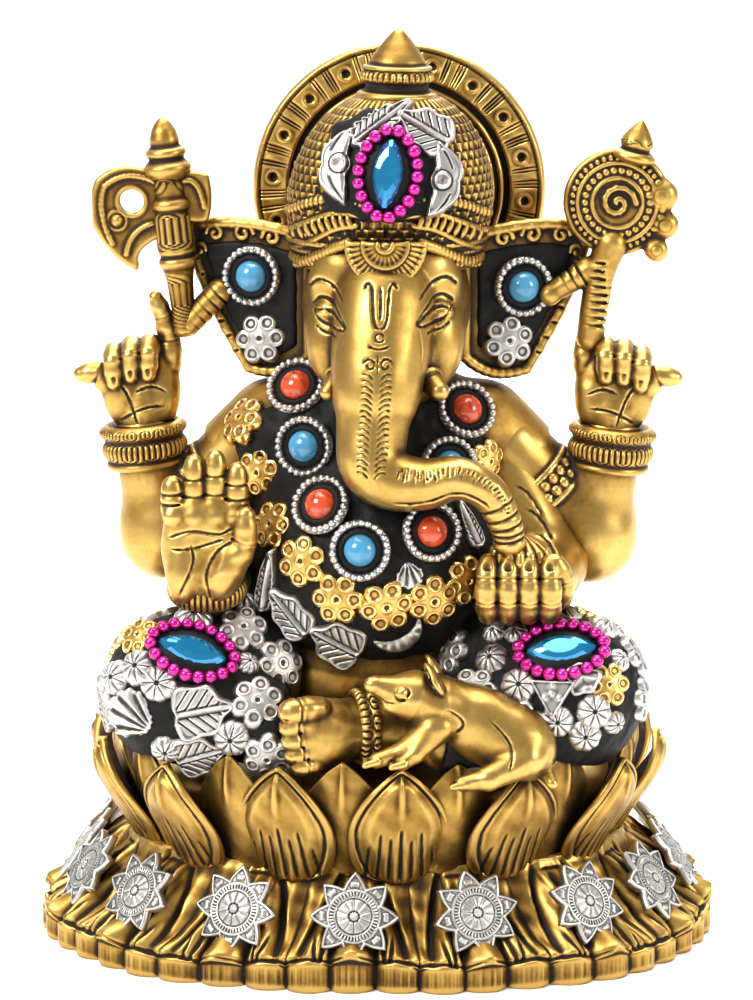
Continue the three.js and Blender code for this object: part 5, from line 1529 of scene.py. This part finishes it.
# ---- What the rear hands hold ----
def axe():
    foot, way = np.array([-42, 4, 132.0]), unit((-0.10, 0, 1))
    build = Build()
    edge = [(1.6, -1.0), (2.8, 0), (2.6, 6, 0.2, 10), (2.9, 11, 0.2, 10), (3.4, 14), (4.2, 15), (4.3, 16),
        (3.5, 16.8), (4.1, 17.8), (4.2, 20, 0.5, 14), (4.2, 25.5, 0.5, 14), (3.7, 26.8), (4.5, 27.8),
        (4.5, 28.8), (3.6, 29.8), (3.6, 33.4, 0.3, 14), (4.4, 34.4), (5.1, 35.4), (5.2, 36.6), (4.2, 37.6),
        (3.6, 38.2), (4.5, 39.2), (4.3, 40.2), (3.1, 40.9), (3.2, 42.4), (2.6, 44.6), (1.4, 46.4),
        (0.4, 47.2)]
    lathe(build, profile_line(edge, 0.3), frame_at(foot, way, (0, 1, 0)), 132)
    clay = Clay((-62, -1, 131), (-30, 10, 175), 0.3)
    place = (np.array([[1.0, 0, 0.1], [-0.1, 0, 1.0], [0, -1.0, 0]]), foot)
    big = np.concatenate([curve((-1, 34), (-9, 40.5), (-15.8, 35.5)),
        curve((-15.8, 35.5), (-18.8, 31), (-17.6, 25)), curve((-17.6, 25), (-14, 17), (-9, 14.5)),
        curve((-8.6, 15.5), (-9.5, 20), (-1, 22))])
    clay.put(flat(big, place, 1.5, 0.8), 0)
    small = np.concatenate([curve((1, 34), (5, 36.5), (8.8, 34)), curve((8.8, 34), (9.6, 28), (7.6, 24)),
        curve((7.6, 24), (5, 23.5), (1, 25))])
    clay.put(flat(small, place, 1.5, 0.8), 0)
    axes, origin = place
    for pts in (curve((-3, 33.5), (-9, 37), (-13.8, 33.4), 12),
            curve((-13.8, 33.4), (-16.4, 29), (-13.6, 21), 12),
            curve((-4.5, 24.4), (-9.5, 23.4), (-10.8, 18.4), 12),
            curve((3.4, 33), (6.6, 33.6), (7.2, 27), 10)):
        line = [origin + axes[0] * u + axes[1] * v - (0, 1.35, 0) for u, v in pts]
        chain(clay, line, 0.62, 0.62, 0.3)
    for u, v, r in ((-8.4, 29.6, 2.7), (-12.0, 25.8, 1.5)):
        at = origin + axes[0] * u + axes[1] * v
        clay.cut(cone(at - (0, 4, 0), at + (0, 4, 0), r, r),
            0.4) if r > 2 else clay.put(ball(at - (0, 1.2, 0), r), 0.3)
        clay.put(hoop(at - (0, 1.2, 0), (0, 1, 0), r + 0.5, 0.55), 0.2)
    clay.put(cone(foot + (0.5, 0, 1.5), foot + (7.4, 1, 8.6), 2.7, 3.0), 0.8)
    for k in range(5):
        p = foot + np.array([1.2 + k * 1.4, 0.2 * k, 2.4 + 1.5 * k])
        clay.cut(hoop(p, (0.7, 0.1, 0.7), 2.95, 0.30), 0.2)
    clay.uneven(0.035, 0.9, 1)
    blades = clay.mesh()
    points, loops, sizes = blades.arrays()
    build.points.append(points)
    build.loops.append(loops + build.count)
    build.sizes.append(sizes)
    build.count += len(points)
    stand_in("axe", build, CAST)


def noose():
    foot, centre = np.array([46.5, 4, 134.0]), np.array([52, 4, 161.0])
    clay = Clay((34, -3, 128), (68, 11, 181), 0.3)
    clay.put(cone(foot - (0, 0, 3), foot + (2, 0, 12), 3.0, 3.2),
        0).put(cone(foot + (2, 0, 12), centre - (1, 0, 9), 3.2, 3.6), 1)
    for k in range(9):
        clay.cut(hoop(foot + (0.2 * k, 0, 0.4 + 1.7 * k), (0.15, 0, 1), 3.15, 0.34), 0.2)
    clay.put(cone(centre - (0, 1.2, 0), centre + (0, 1.2, 0), 1, 1), 0)
    clay.put(egg(centre, np.eye(3), (11.2, 2.4, 11.2)), 0)
    for r, t, lift in ((10.6, 0.95, 0.0), (8.6, 0.5, 1.6), (5.4, 0.5, 2.0)):
        for face in (-1, 1):
            clay.put(hoop(centre + (0, face * lift, 0), (0, 1, 0), r, t), 0.3)
    for r, n, s in ((7.0, 26, 0.85), (9.7, 40, 0.62)):
        for k in range(n):
            t = k / n * TAU
            clay.put(ball(centre + (r * cos(t), -2.0 + 0.06 * r, r * sin(t)), s), 0.12)
    curl = [centre + ((4.0 - k * 0.22) * cos(k * 0.55), -2.5, (4.0 - k * 0.22) * sin(k * 0.55))
        for k in range(18)]
    chain(clay, curl, 0.7, 0.62, 0.2)
    for c, r in (((61.6, 4, 162.4), 3.6), ((62.4, 4, 156.0), 3.0), ((60.6, 3.4, 150.6), 2.6)):
        clay.put(ball(c, (r, r * 0.8, r)), 1.0)
        clay.cut(hoop(np.array(c) - (0, r * 0.8, 0), (0, 1, 0), r * 0.5, 0.35), 0.2)
    clay.put(cone((38.0, 4, 141), (46, 4, 146), 2.2, 3.0), 0.8).put(ball((37.6, 4, 140.6), 2.5), 0.5)
    for k in range(4):
        clay.cut(hoop((39.5 + k * 1.7, 4, 141.8 + k), (0.8, 0, 0.5), 2.75, 0.3), 0.2)
    clay.uneven(0.035, 0.9, 3)
    build = clay.mesh()
    edge = [(3.0, -1.0), (4.6, -0.4), (4.9, 0.5), (4.1, 1.4), (3.0, 1.8), (3.4, 2.6), (3.7, 3.4, 0.3, 12),
        (3.2, 4.6), (2.0, 6.4), (1.0, 7.6), (0.3, 8.4)]
    lathe(build, profile_line(edge, 0.25), frame_at(centre + (3.4, 0, 9.5), (0.22, 0, 1), (0, 1, 0)), 96)
    stand_in("noose", build, CAST)


# ---- Stones, crystals and stamped ornaments ----
def slope(clay, p):
    """The outward direction of a clay surface near a point."""
    q = np.clip(np.round((np.array(p) - clay.lo) / clay.step).astype(int), 3, clay.n - 4)
    i, j, k, f = *q, clay.f
    return unit([f[i + 3, j, k] - f[i - 3, j, k], f[i, j + 3, k] - f[i, j - 3, k], f[i, j, k + 3]
        - f[i, j, k - 3]])


def aim(clay, x, high):
    """The place on a skin seen from the front, at x across and high up the front view."""
    back = towards_camera()
    right = np.array([cos(CAMERA_TURN), sin(CAMERA_TURN), 0.0])
    seen = LOOK_AT + right * (x - VIEW_MIDDLE[0]) + np.cross(back, right) * (high - VIEW_MIDDLE[1])
    way = unit(seen - LOOK_AT - back * AWAY)
    hit = clay.hit(seen - way * 80, way, 120)
    if hit is None:
        return None
    return hit, slope(clay, hit)


def lie(name):
    """Centre, outward normal, long direction, and half sizes of a node, from its own shape."""
    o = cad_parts[name]
    pts = np.array([o.matrix_world @ v.co for v in o.data.vertices]) / MM
    axes = np.linalg.eigh(np.cov((pts - pts.mean(0)).T))[1].T
    normal, long = axes[0], axes[2]
    normal = normal if normal @ np.array([0, -0.8, 0.6]) > 0 else -normal
    wide = np.cross(long, normal)
    spans = [(pts @ a).max() - (pts @ a).min() for a in (long, wide)]
    centre = sum(a * ((pts @ a).max() + (pts @ a).min()) / 2 for a in (normal, long, wide))
    return centre, normal, long, spans[0] / 2, spans[1] / 2


STONES = {"ear_right": TURQUOISE, "ear_left": TURQUOISE, "shoulder_right": CORAL, "chest_right": TURQUOISE,
    "belly_right": CORAL, "belly_middle": TURQUOISE, "belly_left": CORAL, "chest_left": TURQUOISE,
    "shoulder_left": CORAL}


def rested(skin, centre, normal):
    """Moves a place onto a skin, and turns it to lie flat there."""
    hit = skin.hit(centre + normal * 14, -normal, 30)
    if hit is None:
        return centre, normal
    return hit, unit(slope(skin, hit) + 0.9 * normal)


# how far each stone sits from the middle of its plain bezel, across and up
NUDGE = {"shoulder_right": (2.2, 3.4), "chest_right": (2.4, 2.6), "belly_right": (1.7, 0.6),
    "belly_middle": (1.0, 1.9), "belly_left": (0, 0.8), "shoulder_left": (1.0, 0)}


def stones():
    cushions, taken = Build(), []
    for name, colour in STONES.items():
        centre, normal = lie("bezel_" + name)[:2]
        skin = EAR_SKINS[-1 if name.endswith("right") else 1] if name.startswith("ear") else BELLY_SKIN
        across, up = NUDGE.get(name, (0, 0))
        centre, normal = rested(skin, centre + np.array([across, 0, up]), normal)
        if name.startswith("shoulder"):
            normal = unit(normal + 0.8 * np.array([0, -1, 0.1]))
            centre = centre + np.array([0, -0.9, 0.3])
        centre = centre + normal * 1.5
        taken.append((centre, 6.8))
        place = frame_at(centre, normal)
        ring = Build()
        lathe(ring, profile_line([(4.9, -1.2), (6.5, -1.2), (6.6, -0.2), (6.1, 0.3), (5.1, 0.3), (4.8, -0.4)],
            0.3), place, 60)
        lathe(cushions, profile_line([(0.5, -1.6), (6.0, -1.6), (5.4, -0.5), (5.0, -0.1), (4.4, 0.5),
            (3.8, 0.7), (3.4, 0.3), (0.5, 0.2)], 0.3), place, 60)
        for k in range(25):
            t = k / 25 * TAU + rng.uniform(-0.03, 0.03)
            p = laid([[5.82 * cos(t), 5.82 * sin(t), 0.35 + rng.uniform(-0.1, 0.1)]], place)[0]
            turn = frame_at(p, normal + laid([[cos(t), sin(t), 0]], (place[0], 0))[0] * 0.25)
            ring.add(*bead(turn, np.array([0.86, 0.80, 1.05]) * rng.uniform(0.92, 1.06), 0.95))
        publish("bezel_" + name, ring, SILVER, ["bezel_" + name])
        gem = Build()
        dome = [(3.5 * cos(a), -0.2 + 3.2 * sin(a), 0, 0) for a in np.linspace(0, pi / 2 * 0.98, 16)]
        lathe(gem, [(3.2, -0.9)] + dome, place, 64)
        publish("stone_" + name, gem, colour,
            ["stone_" + name], scales=((3, 0.4), (6, 0.9)))
    for name in ("crown", "right_knee", "left_knee"):
        centre, normal, long, reach, wide = lie("bead_ring_" + name)
        centre, normal = rested({"crown": CROWN_SKIN, "right_knee": LEG_SKINS[-1],
            "left_knee": LEG_SKINS[1]}[name], centre, normal)
        long = unit(long - normal * (long @ normal))
        if name == "crown":
            long = long * np.sign(long[2])
            centre, normal = aim(CROWN_SKIN, 2.2, 165.0)
            normal = unit(normal + 0.5 * np.array([0, -1, 0.15]))
            long = unit(long - normal * (long @ normal))
        taken.append((centre, reach + 0.6))
        across = unit(np.cross(long, normal))
        place = (np.array([across, long, normal]), centre + normal * 0.5)
        gem = Build()
        n = 16
        t = (np.arange(n) + 0.5) / n * TAU
        outline = np.stack([3.5 * np.sign(np.cos(t)) * np.abs(np.cos(t)) ** 1.25,
            6.9 * np.sin(t) * (1 + 0.10 * np.sin(t) ** 8)], 1)
        rows = np.array([np.column_stack([outline * s, np.full(n, z)])
            for s, z in ((0.9, -1.3), (1.0, 0.0), (0.98, 0.5), (0.78, 1.5), (0.50, 2.0))])
        pts = np.concatenate([rows.reshape(-1, 3), [[0, 0, -1.3], [0, 0, 2.0]]])
        gem.add(laid(pts, place), grid_faces(5, n, True)[:, ::-1] if np.linalg.det(place[0]) < 0
            else grid_faces(5, n, True))
        for face in (fan(5 * n, np.arange(n), True), fan(5 * n + 1, 4 * n + np.arange(n))):
            gem.cover(face)
        publish("crystal_" + name, gem, CRYSTAL, ["crystal_" + name], smooth=False,
            scales=((1, 9), (2, 9)))
        t = np.linspace(0, TAU, 721)
        a, b = (wide - 1.35) * 1.06, (reach - 1.35) * 1.08
        path = np.stack([a * np.sign(np.cos(t)) * np.abs(np.cos(t)) ** 1.12,
            b * np.sin(t) * (1 + 0.03 * np.sin(t) ** 6), 0 * t], 1)
        run = np.concatenate([[0], np.cumsum(np.linalg.norm(np.diff(path, axis=0), axis=1))])
        count = int(run[-1] / 2.62)
        ring = Build()
        for k in range(count):
            s = k / count * run[-1]
            p = np.array([np.interp(s, run, path[:, i]) for i in range(3)])
            out = unit([p[0] / a ** 2, p[1] / b ** 2, 0.0])
            spin = frame_at(laid([p + (0, 0, 0.35)], place)[0],
                laid([out * 0.3 + (0, 0, 1)], (place[0], 0))[0])
            ring.add(*bead(spin, 1.40 * rng.uniform(0.95, 1.05), 0.95, 9, 16))
        publish("bead_ring_" + name, ring, PINK, ["bead_ring_" + name],
            scales=((2, 0.3), (5, 0.9)))
        bed = [(0.3, -1.8), (1.0, -1.8), (1.0, -0.6), (0.72, 0.0), (0.60, 0.75), (0.52, 0.9), (0.3, 0.9)]
        stretched = (place[0] * np.array([[wide - 0.4], [reach - 0.4], [1.0]]), place[1])
        lathe(cushions, bed, stretched, 80)
    publish("stone_beds", cushions, MASTIC)
    return taken


def triangle_outline(h):
    a = (h - pi / 2 + pi / 3) % (TAU / 3) - pi / 3
    return 2.35 / np.cos(a)


def triangle_relief(x, y, s, h):
    z = 1.2 + 0.3 * bump(s - 0.9, 0.07)
    for k in range(3):
        a = pi / 2 + k * TAU / 3
        z = z + 0.4 * bump(np.hypot(x - 1.5 * cos(a), y - 1.5 * sin(a)), 0.6)
    return z + 0.4 * bump(np.hypot(x, y), 0.6)


def shield_outline(h):
    return 2.7 + 0.35 * np.cos(3 * h + 0.5) + 0.30 * np.cos(5 * h) - 0.2 * np.sin(2 * h)


def shield_relief(x, y, s, h):
    return 1.2 + 0.3 * np.sin(y * 2.6 + np.abs(x) * 1.2) * (1 - s ** 3) + 0.22 * bump(s - 0.9, 0.08)


ORNAMENTS = {"floret": FLORET, "daisy": FLORET, "melon": melon(), "leaf": leaf(11.5, 8.6, 3, 0.11, 1.9),
    "broad": leaf(11.6, 11.4, 3, 0.12, 2.1), "sliver": leaf(10.5, 3.4, 7, 0.05, 1.1), "fan": scallop(),
    "moon": crescent(), "shell": scallop(6.4, 8), "triangle": stamp(triangle_outline, triangle_relief, 18,
    90), "shield": stamp(shield_outline, shield_relief, 18, 80), "feather": leaf(15.5, 6.6, 7, 0.17, 1.6),
    "twig": twin_leaf()}
REACH = {"floret": 5.4, "daisy": 5.4, "melon": 3.4, "leaf": 4.6, "broad": 5.4, "sliver": 3.4, "shell": 5.0,
    "shield": 2.9, "triangle": 3.0}

# kind, millimetres across and up the front view, turn in degrees, size
BELLY_GOLD = [("floret", -29.7, 110.9, 8, 1), ("floret", -26.0, 99.5, 20, 0.95),
    ("floret", -23.1, 87.8, 5, 0.95), ("floret", -16.5, 79.9, 24, 1), ("floret", -8.8, 71.7, 0, 1),
    ("floret", 1.8, 70.0, 12, 1.02), ("floret", 12.1, 71.3, 28, 1), ("floret", 19.4, 75.6, 15, 0.95)]
BELLY_SILVER = [("sliver", -24.0, 74.2, -12, 1.25), ("leaf", -18.6, 67.8, 40, 1.0),
    ("broad", -8.4, 61.8, 60, 0.95), ("moon", 4.6, 63.8, 28, 0.85), ("fan", 6.8, 77.6, 190, 0.8),
    ("sliver", 20.3, 86.9, 18, 1.0)]
RIGHT_LEG = [("daisy", -29.7, 64.9, 10, 0.98), ("daisy", -21.6, 57.2, 0, 1), ("daisy", -26.6, 48.9, 15, 1.0),
    ("daisy", -24.2, 36.8, 25, 0.95), ("melon", -40.6, 66.9, 0, 1.1), ("melon", -57.4, 54.2, 10, 1),
    ("melon", -52.6, 56.4, 25, 1.05), ("melon", -48.2, 53.0, 40, 1.05), ("melon", -32.1, 41.0, 15, 1.05),
    ("broad", -39.5, 46.8, -80, 1.0), ("broad", -39.8, 37.2, -70, 0.9), ("shell", -53.0, 45.2, 60, 1.0),
    ("melon", -46.5, 38.6, 0, 0.9), ("melon", -52.6, 36.4, 20, 0.9)]
LEFT_LEG = [("daisy", 4.6, 58.6, 0, 0.8), ("daisy", 15.6, 60.0, 12, 0.95), ("daisy", 20.8, 51.4, 0, 0.95),
    ("daisy", 31.4, 43.4, 20, 1), ("melon", 25.2, 58.0, 5, 1.0), ("melon", 31.0, 52.4, 25, 1.0),
    ("melon", 39.4, 44.7, 10, 0.95), ("melon", 47.4, 46.8, 30, 1.0), ("melon", 45.4, 41.6, 0, 0.95),
    ("triangle", 38.4, 50.6, 0, 1.1), ("shield", 45.0, 53.8, 20, 1.15)]
LEG_GOLD = {-1: [("floret", -52.4, 63.2, 0, 0.8)], 1: [("floret", 50.6, 52.6, 0, 0.85)]}


def set_on(build, skin, items, taken, sink=0.45, frontal=0.35):
    """Presses ornaments into a skin. The higher frontal is, the more they are turned to the front."""
    for kind, x, high, turn, size in items:
        found = aim(skin, x, high)
        if found is None:
            continue
        point, normal = found
        normal = unit(normal + frontal * np.array([0, -0.95, 0.3]))
        taken.append((point, REACH.get(kind, 4.0) * size))
        press(build, ORNAMENTS[kind], frame_at(point - normal * sink, normal), size * 1.10, radians(turn))


def scatter(build, gold, skin, taken, axis):
    """Covers the sides and back of a thigh with more of the same ornaments, clear of those already set."""
    a, b = np.array(axis[0], float), np.array(axis[1], float)
    tries, order = 3000, (("daisy", 0.95), ("broad", 0.85), ("shell", 0.72), ("melon", 1.0), ("leaf", 0.8),
        ("melon", 0.9))
    for k in range(tries):
        kind, size = order[min(5, k * 9 // tries)]
        target = a + (b - a) * rng.uniform(0.0, 1.15)
        way = unit([rng.uniform(-1, 1), rng.uniform(-1, 1), rng.uniform(-0.15, 1.2)])
        hit = skin.hit(target + way * 42, -way, 60)
        if hit is None:
            continue
        normal = slope(skin, hit)
        facing = normal @ np.array([0, -0.978, 0.208])
        r = REACH[kind] * size
        if (facing > 0.5 and k < tries
                * 0.6) or hit[2] < 46 or hit[1] > 1.5 - r or abs(hit[0]) < 19 + r or normal[2] < -0.35:
            continue
        if k > tries * 0.6:
            r, size = r * 0.85, size * 0.85
        if any(np.linalg.norm(hit - c) < (r + other) * 0.94 for c, other in taken):
            continue
        taken.append((hit, r))
        chosen = gold if kind == "daisy" and rng.random() < 0.25 else build
        press(chosen, ORNAMENTS[kind], frame_at(hit - normal * 0.45, normal), size, rng.uniform(0, TAU))


def ornaments(taken):
    gilt, silver = Build(), Build()
    set_on(gilt, BELLY_SKIN, BELLY_GOLD, taken)
    set_on(silver, BELLY_SKIN, BELLY_SILVER, taken)
    found = aim(BELLY_SKIN, 24.0, 102.0)
    if found:
        press(gilt, ORNAMENTS["floret"], frame_at(found[0] - found[1] * 0.4, found[1]), 0.9, 0.3)
    publish("gilt_florets", gilt, GILT)
    publish("belly_silver", silver, SILVER)
    for side, items, name in ((-1, RIGHT_LEG, "right"), (1, LEFT_LEG, "left")):
        gold, trim = Build(), Build()
        set_on(trim, LEG_SKINS[side], items, taken)
        set_on(gold, LEG_SKINS[side], LEG_GOLD[side], taken)
        scatter(trim, gold, LEG_SKINS[side], taken, ((side * 22, -4, 58), (side * 44, -20, 57)))
        publish(name + "_leg_silver", trim, SILVER)
        publish(name + "_leg_gilt", gold, GILT)
    trim = Build()
    for side, (x, high, turn) in ((-1, (-25.6, 128.9, 5)), (1, (28.6, 128.4, 20))):
        set_on(trim, EAR_SKINS[side], [("daisy", x, high, turn, 1.0)], taken, 0.2)
    publish("ear_flowers", trim, SILVER)
    trim = Build()
    wreath = [("feather", -0.5, 175.0, -49, 0.95), ("leaf", 11.0, 174.3, 57, 1.02),
        ("twig", -8.2, 167.0, 0, 0.92), ("twig", 13.9, 163.3, 172, 0.92)]
    set_on(trim, CROWN_SKIN, wreath, taken, 0.2, 1.3)
    publish("crown_leaves", trim, SILVER)


skirt()
cup()
torso()
BELLY_SKIN = belly_mastic()
LEG_SKINS = legs()
rear_arms()
rear_hands()
front_arms()
right_front_hand()
left_front_hand()
left_foot()
mouse()
head()
EAR_SKINS = ears()
CROWN_SKIN = crown()
halo()
axe()
noose()
ornaments(stones())
studio()
